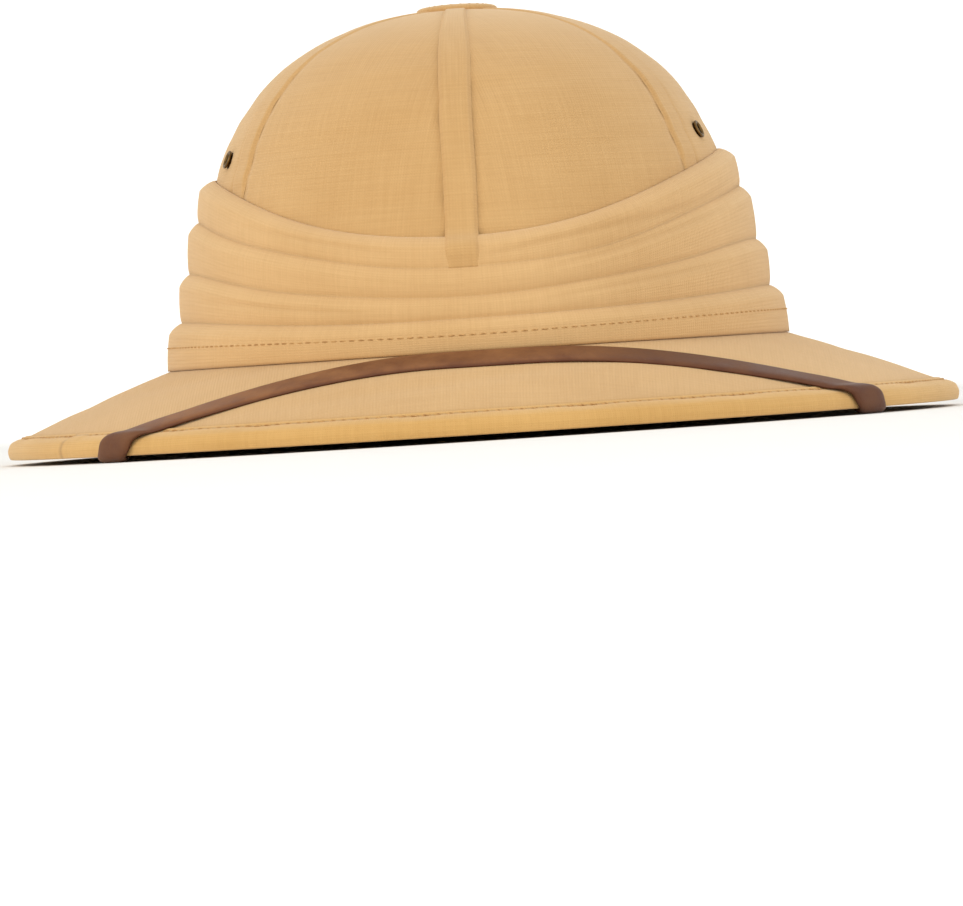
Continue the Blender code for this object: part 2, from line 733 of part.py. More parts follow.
def build():
    clear_scene()
    cotton = make_material("tan_cotton", (0.70, 0.43, 0.16), 0.85)
    board = make_material("pressed_board", (0.50, 0.40, 0.27), 0.9)
    lining_cloth = make_material("lining_cotton", (0.48, 0.35, 0.24), 0.9)
    leather = make_material("brown_leather", (0.20, 0.09, 0.045), 0.5)
    brass = make_material("dark_brass", (0.24, 0.16, 0.08), 0.4, 1.0)

    helmet = bpy.data.objects.new("helmet", None)
    bpy.context.scene.collection.objects.link(helmet)
    shell = make_shell(board, helmet)
    gores = make_gores(cotton, helmet)
    make_ribs(cotton, helmet)
    make_button(cotton, helmet)
    make_eyelets(gores, shell, brass, helmet)
    make_puggaree(cotton, helmet)
    make_brim_cloth("brim_cover", 0.0, -CLOTH, GAP, cotton, helmet)
    lining = make_brim_cloth("brim_lining", LINING_TOP, LINING_UNDER, 0.0, lining_cloth, helmet)
    make_binding(cotton, helmet)
    strap, lowest = make_strap(leather, helmet)
    make_pins(strap, lining, shell, brass, helmet)
    helmet.location.z = -lowest


build()
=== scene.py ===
"""Pith helmet, dressed: cotton crown in six gores, pleated puggaree, bound brim and leather chin strap.

Metres, +Z up, the front faces -Y. Angles round the helmet are taken from the front, positive towards +X.
Every new surface is a function of two parameters on a grid, worked out as whole arrays.
"""

import math

import bpy
import numpy as np
from mathutils import Matrix, Vector


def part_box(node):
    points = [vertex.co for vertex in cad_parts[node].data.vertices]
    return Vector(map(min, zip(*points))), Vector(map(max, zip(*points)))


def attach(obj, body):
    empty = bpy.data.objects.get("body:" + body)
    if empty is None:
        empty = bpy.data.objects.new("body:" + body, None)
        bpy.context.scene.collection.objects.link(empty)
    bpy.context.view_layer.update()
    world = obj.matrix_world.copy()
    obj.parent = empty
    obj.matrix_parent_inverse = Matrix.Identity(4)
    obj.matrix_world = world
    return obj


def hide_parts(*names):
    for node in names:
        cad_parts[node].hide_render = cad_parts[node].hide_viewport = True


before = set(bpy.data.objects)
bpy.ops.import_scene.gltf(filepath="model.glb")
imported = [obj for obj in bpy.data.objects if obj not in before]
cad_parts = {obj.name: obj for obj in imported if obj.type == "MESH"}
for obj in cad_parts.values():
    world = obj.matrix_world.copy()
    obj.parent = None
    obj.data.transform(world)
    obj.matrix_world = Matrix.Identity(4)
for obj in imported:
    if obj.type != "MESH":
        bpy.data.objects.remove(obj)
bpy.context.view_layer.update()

MM = 0.001
TAU = 2 * math.pi

# The sole that the helmet rests by lies this high, because the strap passes below it
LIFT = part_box("edge_binding")[0][2]

# The crown: width and length of its cloth at the base, its rise, and the shape of its dome
CROWN_A = 93 * MM
CROWN_B = 113 * MM
CROWN_RISE = 106.1 * MM
CROWN_TAPER = 0.25
CROWN_SHOULDER = 5.2
CROWN_ROUNDNESS = 2.2
CROWN_Y = -6 * MM
CROWN_Z = 25.9 * MM + LIFT

# The brim's outline, its fall and its curl
BRIM_A = 150 * MM
BRIM_B = 172 * MM
BRIM_FALL = 21.5 * MM
BRIM_CURL = 0.1

# brim_place looks this share of the brim's width past both its ends, and halves its range this often
BRIM_MARGIN = 0.3
BRIM_HALVINGS = 50

# Layers of board and cloth
GAP = 0.3 * MM
CLOTH = 1.0 * MM
BOARD_TOP = -1.3 * MM
BOARD_UNDER = -3.3 * MM
CROWN_BOARD = 3.0 * MM
LINING_TOP = -3.6 * MM
LINING_UNDER = -4.6 * MM

# Edge binding
BINDING_CLOTH = 1.2 * MM
BINDING_WIDTH = 6.5 * MM
BINDING_PROUD = 0.2 * MM
BINDING_UNDER = -4.8 * MM
RIM_HEIGHT = 4.4 * MM
SOLE_WIDTH = 2.5 * MM
SOLE_INSET = 0.8 * MM
NOSE_HEIGHT = 2.2 * MM

# Puggaree
PUGGAREE_SIDE = 57.6 * MM
PUGGAREE_FRONT = 32.6 * MM
PUGGAREE_DIP = 2.0
PLEAT_STAND = 5.0 * MM
HEM_STAND = 4.9 * MM
FOLD_ROUND = 4.2 * MM
FOLD_SHARE = 0.5
FOLD_SHAPE = 1.35
PLEAT_BELLY = 0.25 * MM
CREASE_DEPTH = 0.3 * MM
CREASE_WIDTH = 0.9 * MM
FRONT_FULLNESS = 0.45

# Pleats from the top down: the height of each upper fold as shares of PUGGAREE_SIDE and PUGGAREE_FRONT, and
# how far the pleat stands off the crown there and at its foot, as shares of PLEAT_STAND
PLEATS = (
    {"side": 1.000, "front": 1.000, "upper": 0.86, "lower": 0.54},
    {"side": 0.769, "front": 0.693, "upper": 0.98, "lower": 0.55},
    {"side": 0.486, "front": 0.439, "upper": 1.00, "lower": 0.56},
    {"side": 0.229, "front": 0.209, "upper": 1.18, "lower": 0.98},
)

# Seam ribs, top button and eyelets
GORES = 6
SEAM_CROWDING = 0.6
RIB_WIDTH = 10 * MM
RIB_TOP_WIDTH = 7 * MM
RIB_CLOTH = 0.8 * MM
RIB_NARROWING = 7
BUTTON_RADIUS = 12.75 * MM
BUTTON_RISE = 1.7 * MM
EYELET_ANGLES = (71, 109, -71, -109)
EYELET_ABOVE_BAND = 7.8 * MM
EYELET_HOLE = 1.75 * MM
EYELET_BARREL = 2.15 * MM
EYELET_FLANGE_RADIUS = 3.0 * MM
EYELET_FLANGE = 0.7 * MM
EYELET_SEAT = 0.45 * MM
EYELET_TAIL = -5.25 * MM
CLOTH_HOLE = 2.6 * MM
BOARD_HOLE = 2.7 * MM
HOLE_DEPTH = 10 * MM
HOLE_EDGE_ANGLE = math.radians(50)

# Chin strap
STRAP_WIDTH = 12 * MM
STRAP_THICKNESS = 1.4 * MM
STRAP_TURN_LEFT = -43.0
STRAP_TURN_RIGHT = 49.4
STRAP_NOSE_GAP = 0.9 * MM
STRAP_SOLE_GAP = 0.5 * MM
STRAP_SQUARENESS = 0.7
STRAP_REST = 0.15 * MM
STRAP_CLIMB = 10 * MM
STRAP_END_ANGLE = 80
STRAP_END_INSET = 8 * MM
STRAP_TAIL = 7 * MM
PIN_RADIUS = 1.5 * MM
PIN_HEAD_RADIUS = 4.0 * MM
PIN_HEAD = 1.2 * MM


def vectors(x, y, z):
    """One array of points from coordinates that may be numbers or arrays."""
    return np.stack(np.broadcast_arrays(x, y, z), axis=-1).astype(float)


def unit(v):
    """Vectors of length one along v."""
    return v / np.linalg.norm(v, axis=-1, keepdims=True)


def smooth_step(x):
    """0 below 0, 1 above 1, and 3 x^2 - 2 x^3 between."""
    x = np.clip(x, 0, 1)
    return x * x * (3 - 2 * x)


def bell(x, width):
    """exp(-(x / width)^2): 1 at 0, and next to nothing past twice the width."""
    return np.exp(-(x / width) ** 2)


def centred(value, period):
    """The value less whole periods, between minus half a period and half a period."""
    return (value + period / 2) % period - period / 2


def lengths_along(line):
    """The length from a line's first point to each of its points."""
    return np.concatenate([[0], np.cumsum(np.linalg.norm(np.diff(line, axis=0), axis=1))])


def points_at(line, along, at):
    """The line's points, or the directions that go with them, at the lengths at."""
    return np.stack([np.interp(at, along, column) for column in line.T], axis=-1)


def crown_share(u):
    """(1 - taper u) (1 - u^shoulder)^(1 / roundness): the crown's width at the share u of its rise."""
    inside = np.clip(1 - np.power(np.clip(u, 0, None), CROWN_SHOULDER), 0, None)
    return (1 - CROWN_TAPER * u) * inside ** (1 / CROWN_ROUNDNESS)


def crown_point(angle, u, offset=0.0):
    """An ellipse of semi-axes A and B times crown_share(u), at the height u times the rise, plus offset
    along the surface's own normal."""
    angle, u = np.broadcast_arrays(np.asarray(angle, float), np.asarray(u, float))
    above = np.clip(u, 0, None)
    inside = np.clip(1 - np.power(above, CROWN_SHOULDER), 1e-9, None)
    bend = -CROWN_SHOULDER * np.power(above, CROWN_SHOULDER - 1) / CROWN_ROUNDNESS
    slope = -CROWN_TAPER * inside ** (1 / CROWN_ROUNDNESS)
    slope = slope + (1 - CROWN_TAPER * u) * bend * inside ** (1 / CROWN_ROUNDNESS - 1)
    share = crown_share(u)
    point = vectors(
        CROWN_A * share * np.sin(angle),
        CROWN_Y - CROWN_B * share * np.cos(angle),
        CROWN_Z + CROWN_RISE * u,
    )
    normal = vectors(
        CROWN_B * CROWN_RISE * np.sin(angle),
        -CROWN_A * CROWN_RISE * np.cos(angle),
        -CROWN_A * CROWN_B * slope,
    )
    return point + np.asarray(offset)[..., None] * unit(normal)


def crown_outward(angle, u):
    """The direction out of the crown's surface."""
    return unit(crown_point(angle, u, 1.0) - crown_point(angle, u))


def crown_speed(angle, u):
    """The length round the crown for one radian."""
    return crown_share(u) * np.hypot(CROWN_A * np.cos(angle), CROWN_B * np.sin(angle))


def crown_level_at_radius(angle, radius):
    """The share of the rise where the crown at an angle is radius away from its axis, off a fine table."""
    table = 1 - np.linspace(1, 0, 4001) ** 3
    reach = crown_share(table)
    wanted = radius / np.hypot(CROWN_A * np.sin(angle), CROWN_B * np.cos(angle))
    return np.interp(-wanted, -reach, table)


def crown_rows(count, low=0.0, high=1.0):
    """Shares of the rise at even steps along the crown's profile from low to high."""
    table = low + (high - low) * (1 - np.linspace(1, 0, 2001) ** 3)
    width = crown_share(table) * (CROWN_A + CROWN_B) / 2
    steps = np.hypot(np.diff(width), np.diff(table) * CROWN_RISE)
    along = np.concatenate([[0], np.cumsum(steps)])
    return np.interp(np.linspace(0, along[-1], count), along, table)


def brim_point(angle, s, offset=0.0):
    """Ellipses that widen evenly from the crown (s = 0) to the rim (s = 1) while they fall by
    BRIM_FALL ((1 - curl) s + curl s^2), plus offset along the surface's own normal."""
    angle, s = np.broadcast_arrays(np.asarray(angle, float), np.asarray(s, float))
    a = CROWN_A + (BRIM_A - CROWN_A) * s
    b = CROWN_B + (BRIM_B - CROWN_B) * s
    fall = BRIM_FALL * ((1 - BRIM_CURL) * s + BRIM_CURL * s * s)
    steep = BRIM_FALL * ((1 - BRIM_CURL) + 2 * BRIM_CURL * s)
    point = vectors(a * np.sin(angle), CROWN_Y * (1 - s) - b * np.cos(angle), CROWN_Z - fall)
    outward = vectors(
        (BRIM_A - CROWN_A) * np.sin(angle),
        -CROWN_Y - (BRIM_B - CROWN_B) * np.cos(angle),
        -steep,
    )
    around = vectors(a * np.cos(angle), b * np.sin(angle), 0.0)
    normal = unit(np.cross(outward, around))
    return point + np.asarray(offset)[..., None] * normal


def brim_width(angle):
    """The level distance from the crown's cloth out to the rim."""
    span = brim_point(angle, 1.0) - brim_point(angle, 0.0)
    return np.hypot(span[..., 0], span[..., 1])


def brim_inset(angle, distance):
    """The place s on the brim that lies distance inside the rim."""
    return 1 - distance / brim_width(angle)


def brim_outset(angle, distance):
    """The place s on the brim that lies distance outside the crown's cloth."""
    return distance / brim_width(angle)


def brim_place(x, y):
    """The angle and s of the brim's point above a level position, found by halving s."""
    low = np.full_like(x, -BRIM_MARGIN)
    high = np.full_like(x, 1 + BRIM_MARGIN)
    for _ in range(BRIM_HALVINGS):
        s = (low + high) / 2
        a = CROWN_A + (BRIM_A - CROWN_A) * s
        b = CROWN_B + (BRIM_B - CROWN_B) * s
        beyond = (x / a) ** 2 + ((y - CROWN_Y * (1 - s)) / b) ** 2 > 1
        low = np.where(beyond, s, low)
        high = np.where(beyond, high, s)
    return np.arctan2(x / a, -(y - CROWN_Y * (1 - s)) / b), s


def rim_outward(angle):
    """The level direction out of the brim's outline."""
    return unit(vectors(BRIM_B * np.sin(angle), -BRIM_A * np.cos(angle), 0.0))


def rim_point(angle, out, height):
    """A point by the rim: out from its outline, at a height above the sole."""
    base = brim_point(angle, 1.0)
    base[..., 2] = height + LIFT
    return base + np.asarray(out)[..., None] * rim_outward(angle)


def turns(count):
    """Even angles once round, without the last, which is the first again."""
    return np.linspace(0, TAU, count, endpoint=False)


def turns_by_seams(count):
    """Angles round the helmet, count to a gore, that stand closer together by the seams: from one seam to
    the next, v - SEAM_CROWDING sin(2 pi v) / (2 pi)."""
    v = turns(count) / TAU
    share = v - SEAM_CROWDING * np.sin(TAU * v) / TAU
    return ((np.arange(GORES)[:, None] + share[None]) * TAU / GORES).ravel()


def waver(angle, waves):
    """A sum of sines round the helmet: each wave has its number of periods, its size and its turn."""
    return sum(w["size"] * np.sin(w["count"] * angle + w["turn"]) for w in waves)


# Meshes

def corner_numbers(rows, columns, wrap_rows, wrap_columns):
    """Row and column numbers of the four corners of each cell of a grid."""
    r, c = np.meshgrid(
        np.arange(rows if wrap_rows else rows - 1),
        np.arange(columns if wrap_columns else columns - 1),
        indexing="ij",
    )
    r, c = r.ravel(), c.ravel()
    return np.stack([r, r, r + 1, r + 1], axis=1), np.stack([c, c + 1, c + 1, c], axis=1)


def enclosed_volume(points, faces):
    """Six times the volume that the faces close in, positive where they point outwards."""
    total = 0.0
    for block in faces:
        first = points[block[:, 0]]
        for k in range(1, block.shape[1] - 1):
            second, third = points[block[:, k]], points[block[:, k + 1]]
            total += np.einsum("ij,ij->i", first, np.cross(second, third)).sum()
    return total


def placed(name, data):
    """A new object in the scene, at the origin."""
    thing = bpy.data.objects.new(name, data)
    bpy.context.scene.collection.objects.link(thing)
    return thing


def make_piece(name, points, faces, uvs, material, values=None):
    """A mesh from points and blocks of faces with equal numbers of corners, turned to face outwards.

    uvs holds one block of corner coordinates, in millimetres, for each block of faces, or None.
    """
    if enclosed_volume(points, faces) < 0:
        faces = [block[:, ::-1] for block in faces]
        uvs = [block[:, ::-1] for block in uvs] if uvs else None
    used = np.unique(np.concatenate([block.ravel() for block in faces]))
    renumber = np.zeros(len(points), int)
    renumber[used] = np.arange(len(used))
    corners = np.concatenate([renumber[block].ravel() for block in faces])
    sizes = np.concatenate([np.full(len(block), block.shape[1]) for block in faces])
    mesh = bpy.data.meshes.new(name)
    mesh.vertices.add(len(used))
    mesh.vertices.foreach_set("co", points[used].astype(np.float32).ravel())
    mesh.loops.add(len(corners))
    mesh.loops.foreach_set("vertex_index", corners.astype(np.int32))
    mesh.polygons.add(len(sizes))
    starts = np.concatenate([[0], np.cumsum(sizes)[:-1]])
    mesh.polygons.foreach_set("loop_start", starts.astype(np.int32))
    if uvs:
        layer = mesh.uv_layers.new(name="cloth_mm")
        flat = np.concatenate([block.reshape(-1, 2) for block in uvs])
        layer.data.foreach_set("uv", flat.astype(np.float32).ravel())
    for label, amounts in (values or {}).items():
        attribute = mesh.attributes.new(label, "FLOAT", "POINT")
        attribute.data.foreach_set("value", amounts.ravel()[used].astype(np.float32))
    mesh.update(calc_edges=True)
    mesh.validate()
    mesh.shade_smooth()
    mesh.materials.append(material)
    piece = placed(name, mesh)
    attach(piece, "root")
    return piece


def run_lengths(points, axis, wrap):
    """Running length in millimetres along one axis of a grid of points, averaged over the other."""
    ahead = np.roll(points, -1, axis=axis)
    steps = np.linalg.norm(ahead - points, axis=2).mean(axis=1 - axis) / MM
    run = np.concatenate([[0], np.cumsum(steps)])
    return run if wrap else run[:-1]


def grid_piece(name, points, material, tube=False, uv=None, holes=None, values=None):
    """A grid of points as one closed mesh, whose columns close in a ring.

    In a tube the rows do too. Otherwise each end row is gathered in one point. uv gives (u, v) in millimetres
    at each corner, one more row or column than the points where they wrap. holes marks the cells of the outer
    half of a two-layer grid that are cut out through both layers.
    """
    rows, columns = points.shape[:2]
    corner_r, corner_c = corner_numbers(rows, columns, tube, True)
    number = (corner_r % rows) * columns + corner_c % columns
    if not tube:
        number = np.where(corner_r == 0, 0, number)
        number = np.where(corner_r == rows - 1, (rows - 1) * columns, number)
    if uv is None:
        uv = np.stack(np.meshgrid(run_lengths(points, 1, True), run_lengths(points, 0, tube)), axis=-1)
    corner_uv = uv[corner_r, corner_c]
    plain = np.full(len(number), True)
    blocks, uv_blocks = [], []
    if holes is not None:
        outer = np.zeros((rows - 1, columns), bool)
        outer[: rows // 2 - 1] = holes[: rows // 2 - 1]
        plain = ~(outer | outer[::-1]).ravel()
        r, c = np.nonzero(outer)
        sides = (
            (r - 1, c, (r, c), (r, c + 1)),
            (r + 1, c, (r + 1, c + 1), (r + 1, c)),
            (r, c - 1, (r + 1, c), (r, c)),
            (r, c + 1, (r, c + 1), (r + 1, c + 1)),
        )
        for near_r, near_c, start, end in sides:
            edge = ~outer[near_r, near_c % columns]
            start_r, start_c = start[0][edge], start[1][edge]
            end_r, end_c = end[0][edge], end[1][edge]
            wall_r = np.stack([start_r, end_r, rows - 1 - end_r, rows - 1 - start_r], axis=1)
            wall_c = np.stack([start_c, end_c, end_c, start_c], axis=1)
            blocks.append(wall_r * columns + wall_c % columns)
            uv_blocks.append(uv[wall_r, wall_c])
    first = (corner_r[:, 0] == 0) & (not tube)
    last = (corner_r[:, 2] == rows - 1) & (not tube)
    groups = ((plain & ~first & ~last, (0, 1, 2, 3)), (first, (0, 2, 3)), (last, (0, 1, 2)))
    for chosen, corners in groups:
        if chosen.any():
            blocks.append(number[chosen][:, corners])
            uv_blocks.append(corner_uv[chosen][:, corners])
    piece = make_piece(name, points.reshape(-1, 3), blocks, uv_blocks, material, values)
    if holes is not None:
        # The cut edges stay crisp, so that they don't shade the cloth round them
        piece.data.set_sharp_from_angle(angle=HOLE_EDGE_ANGLE)
    return piece


def strip_piece(name, loops, material, values=None):
    """Closed section loops carried along a path, one row each, with a flat face over both ends."""
    rows, columns = loops.shape[:2]
    corner_r, corner_c = corner_numbers(rows, columns, False, True)
    number = corner_r * columns + corner_c % columns
    across = run_lengths(loops, 1, True)
    along = run_lengths(loops, 0, False)
    uv = np.stack(np.meshgrid(across, along), axis=-1)
    caps = np.stack([np.arange(columns)[::-1], (rows - 1) * columns + np.arange(columns)])
    cap_uv = np.stack([uv[0, np.arange(columns)[::-1]], uv[rows - 1, np.arange(columns)]])
    uvs = [uv[corner_r, corner_c], cap_uv]
    return make_piece(name, loops.reshape(-1, 3), [number, caps], uvs, material, values)


def two_layers(outside, inside):
    """Outer rows, then the matching inner rows in the opposite order, so that one grid closes a sheet."""
    return np.concatenate([outside, inside[::-1]], axis=0)


# Steps along and round each stitch, and the stitches of the three seams: their pitch, their length, their
# thread's thickness and how high it lies
STITCH_STEPS = 5
STITCH_SIDES = 6
BAND_STITCH = {"pitch": 3.1 * MM, "length": 2.3 * MM, "thread": 0.42 * MM, "lift": 0.12 * MM}
BRIM_STITCH = {"pitch": 3.5 * MM, "length": 2.7 * MM, "thread": 0.60 * MM, "lift": 0.12 * MM}
BUTTON_STITCH = {"pitch": 2.9 * MM, "length": 2.2 * MM, "thread": 0.40 * MM, "lift": 0.16 * MM}


def make_stitches(name, lines, pitch, length, thread, lift):
    """Runs of stitches as one mesh. Along each line, given as points with outward directions, a stitch is a
    thread whose middle rises as the sine of the way along it and whose two ends go down into the cloth."""
    v = np.linspace(0, 1, STITCH_STEPS)
    blocks, caps, point_blocks = [], [], []
    total = 0
    turn = turns(STITCH_SIDES)
    for line, outward in lines:
        along = lengths_along(line)
        count = max(1, int(along[-1] / pitch))
        starts = (np.arange(count) + 0.5) * along[-1] / count - length / 2
        at = starts[:, None] + v[None, :] * length
        middle = points_at(line, along, at)
        up = unit(points_at(outward, along, at))
        ahead = unit(np.gradient(middle, axis=1))
        side = unit(np.cross(up, ahead))
        rise = (lift + 0.5 * thread) * np.sin(math.pi * v) - 0.5 * thread
        middle = middle + rise[None, :, None] * up
        ring = np.cos(turn)[:, None] * side[:, :, None, :] + np.sin(turn)[:, None] * up[:, :, None, :]
        points = middle[:, :, None, :] + 0.5 * thread * ring
        point_blocks.append(points.reshape(-1, 3))
        base = total + np.arange(count)[:, None, None] * STITCH_STEPS * STITCH_SIDES
        r, c = corner_numbers(STITCH_STEPS, STITCH_SIDES, False, True)
        blocks.append((base + (r * STITCH_SIDES + c % STITCH_SIDES)[None]).reshape(-1, 4))
        first_end = np.arange(STITCH_SIDES)
        ends = np.stack([first_end[::-1], (STITCH_STEPS - 1) * STITCH_SIDES + first_end])
        caps.append((base + ends[None]).reshape(-1, STITCH_SIDES))
        total += count * STITCH_STEPS * STITCH_SIDES
    faces = [np.concatenate(blocks), np.concatenate(caps)]
    piece = make_piece(name, np.concatenate(point_blocks), faces, None, THREAD)


def plan_uv(points, wrap_rows=False):
    """Each corner's level place in millimetres, for cloth that is cut flat."""
    plan = np.concatenate([points, points[:, :1]], axis=1)[..., :2] / MM
    return np.concatenate([plan, plan[:1]], axis=0) if wrap_rows else plan


# Materials

def linear(hex_colour, alpha=1.0):
    """An sRGB hex colour as linear values."""
    parts = [int(hex_colour[k:k + 2], 16) / 255 for k in (1, 3, 5)]
    return (*[p / 12.92 if p <= 0.04045 else ((p + 0.055) / 1.055) ** 2.4 for p in parts], alpha)


def feed(item, sockets):
    """Gives a node's inputs their links, where the value is another node's output, or their values."""
    for label, value in sockets.items():
        if isinstance(value, bpy.types.NodeSocket):
            item.id_data.links.new(value, item.inputs[label])
        else:
            item.inputs[label].default_value = value


def add(tree, kind, sockets=None, **settings):
    """Adds one node: settings are its own properties, sockets gives inputs their values or links."""
    item = tree.nodes.new("ShaderNode" + kind)
    for label, value in settings.items():
        setattr(item, label, value)
    feed(item, sockets or {})
    return item


def new_material(name):
    """An empty material with a Principled shader on its output. Returns it, its tree and the shader."""
    material = bpy.data.materials.new(name)
    material.use_nodes = True
    tree = material.node_tree
    tree.nodes.clear()
    shader = add(tree, "BsdfPrincipled")
    add(tree, "OutputMaterial", {"Surface": shader.outputs["BSDF"]})
    return material, tree, shader


def woven_cotton(name, pale, deep, thread_mm, crease_shade_hex=None):
    """Plain-woven cotton, piece-dyed: matt, with single threads that catch the light, slubs where a thread
    thickens, and slow changes of shade from the dye. Threads are drawn at thread_mm, about twice their real
    spacing, because the real weave is too fine for the picture."""
    material, tree, shader = new_material(name)
    place = add(tree, "UVMap", uv_map="cloth_mm")
    split = add(tree, "SeparateXYZ", {"Vector": place.outputs["UV"]})
    waves = []
    for axis in ("X", "Y"):
        phase = add(tree, "Math", {0: split.outputs[axis], 1: math.pi / thread_mm}, operation="MULTIPLY")
        waves.append(add(tree, "Math", {0: phase.outputs[0]}, operation="SINE"))
    over = add(tree, "Math", {0: waves[0].outputs[0], 1: waves[1].outputs[0]}, operation="MULTIPLY")
    thread = add(tree, "Math", {0: over.outputs[0]}, operation="ABSOLUTE")
    # Slubs along the threads of both directions, with their width and length in millimetres
    slubs = []
    for size in ((0.9, 26.0, 1.0), (30.0, 0.8, 1.0)):
        scale = tuple(1 / s for s in size)
        stretched = add(tree, "Mapping", {"Vector": place.outputs["UV"], "Scale": scale})
        slubs.append(add(tree, "TexNoise", {
            "Vector": stretched.outputs["Vector"], "Scale": 1.0, "Detail": 2.0, "Roughness": 0.6,
        }))
    both = add(tree, "Math", {0: slubs[0].outputs["Fac"], 1: slubs[1].outputs["Fac"]}, operation="ADD")
    position = add(tree, "TexCoord")
    dye = add(tree, "TexNoise", {
        "Vector": position.outputs["Object"], "Scale": 1 / (45 * MM), "Detail": 3.0, "Roughness": 0.55,
    })
    slub_shade = add(tree, "Math", {0: both.outputs[0], 1: 0.55, 2: -0.55}, operation="MULTIPLY_ADD")
    thread_shade = add(tree, "Math", {0: thread.outputs[0], 1: 0.16, 2: slub_shade.outputs[0]},
                       operation="MULTIPLY_ADD")
    shade = add(tree, "Math", {0: dye.outputs["Fac"], 1: 0.75, 2: thread_shade.outputs[0]},
                operation="MULTIPLY_ADD", use_clamp=True)
    tone = add(tree, "Mix", {0: shade.outputs[0], 6: linear(deep), 7: linear(pale)}, data_type="RGBA")
    colour = tone.outputs[2]
    # Painted shade: the crease attribute darkens the cloth towards the crease colour in folds, dips and along
    # its borders
    if crease_shade_hex:
        fold = add(tree, "Attribute", attribute_name="crease")
        colour = add(tree, "Mix", {0: fold.outputs["Fac"], 6: colour, 7: linear(crease_shade_hex)},
                     data_type="RGBA").outputs[2]
    relief = add(tree, "Math", {0: both.outputs[0], 1: 0.8, 2: thread.outputs[0]}, operation="MULTIPLY_ADD")
    bump = add(tree, "Bump", {"Height": relief.outputs[0], "Strength": 0.5, "Distance": 0.12 * MM})
    feed(shader, {
        "Base Color": colour, "Normal": bump.outputs["Normal"], "Roughness": 0.88, "Specular IOR Level": 0.3,
        "Sheen Weight": 0.4, "Sheen Roughness": 0.5, "Sheen Tint": linear("#fff0d6"),
    })
    return material


def sewing_thread(name, colour):
    """Spun cotton thread: two plies that wind round each other, seen as a slanting ridge on each stitch, with
    a painted highlight along each ridge.
    """
    material, tree, shader = new_material(name)
    position = add(tree, "TexCoord")
    plies = add(tree, "TexWave", {
        "Vector": position.outputs["Object"], "Scale": 1 / (2.8 * MM), "Distortion": 1.5, "Detail": 1.0,
    }, bands_direction="DIAGONAL")
    # Painted highlight: paler towards the top of each ply's ridge
    shade = add(tree, "Mix", {0: plies.outputs["Fac"], 6: linear(colour), 7: linear("#c89c60")},
                data_type="RGBA")
    bump = add(tree, "Bump", {"Height": plies.outputs["Fac"], "Strength": 0.5, "Distance": 0.06 * MM})
    feed(shader, {"Base Color": shade.outputs[2], "Normal": bump.outputs["Normal"], "Roughness": 0.7})
    return material


def harness_leather(name):
    """Vegetable-tanned leather, dyed brown and rubbed: a fine pebbled grain, paler where it is worn, darker
    along the burnished edges, with painted shade where it bends and a painted shadow towards +X, and a soft
    waxy shine."""
    material, tree, shader = new_material(name)
    place = add(tree, "TexCoord")
    grain = add(tree, "TexVoronoi", {
        "Vector": place.outputs["Object"], "Scale": 1 / (0.9 * MM), "Randomness": 1.0,
    }, feature="DISTANCE_TO_EDGE")
    pebble = add(tree, "Math", {0: grain.outputs["Distance"], 1: 0.12}, operation="MINIMUM")
    wear = add(tree, "TexNoise", {
        "Vector": place.outputs["Object"], "Scale": 1 / (11 * MM), "Detail": 4.0, "Roughness": 0.6,
    })
    worn = add(tree, "MapRange", {0: wear.outputs["Fac"], 1: 0.35, 2: 0.68, 3: 0.0, 4: 1.0})
    body = add(tree, "Mix", {0: worn.outputs[0], 6: linear("#6b3d1c"), 7: linear("#8a5a32")},
               data_type="RGBA")
    # The edge attribute holds the burnished edges' own darkness, and painted shade round the bends and
    # towards +X
    edge = add(tree, "Attribute", attribute_name="edge")
    colour = add(tree, "Mix", {0: edge.outputs["Fac"], 6: body.outputs[2], 7: linear("#45200f")},
                 data_type="RGBA")
    rough = add(tree, "MapRange", {0: wear.outputs["Fac"], 1: 0.3, 2: 0.7, 3: 0.46, 4: 0.62})
    bump = add(tree, "Bump", {"Height": pebble.outputs[0], "Strength": 0.35, "Distance": 0.5 * MM})
    feed(shader, {
        "Base Color": colour.outputs[2], "Roughness": rough.outputs[0], "Normal": bump.outputs["Normal"],
        "Specular IOR Level": 0.3, "Coat Weight": 0.05, "Coat Roughness": 0.4,
    })
    return material


def darkened_brass(name):
    """Brass, stamped and chemically darkened: a dull brown metal with brighter, rubbed high spots."""
    material, tree, shader = new_material(name)
    place = add(tree, "TexCoord")
    stain = add(tree, "TexNoise", {
        "Vector": place.outputs["Object"], "Scale": 1 / (1.6 * MM), "Detail": 4.0, "Roughness": 0.65,
    })
    tone = add(tree, "Mix", {0: stain.outputs["Fac"], 6: linear("#4d3a22"), 7: linear("#8a6c3f")},
               data_type="RGBA")
    rough = add(tree, "MapRange", {0: stain.outputs["Fac"], 1: 0.3, 2: 0.7, 3: 0.3, 4: 0.5})
    bump = add(tree, "Bump", {"Height": stain.outputs["Fac"], "Strength": 0.2, "Distance": 0.05 * MM})
    feed(shader, {
        "Base Color": tone.outputs[2], "Roughness": rough.outputs[0], "Normal": bump.outputs["Normal"],
        "Metallic": 1.0,
    })
    return material


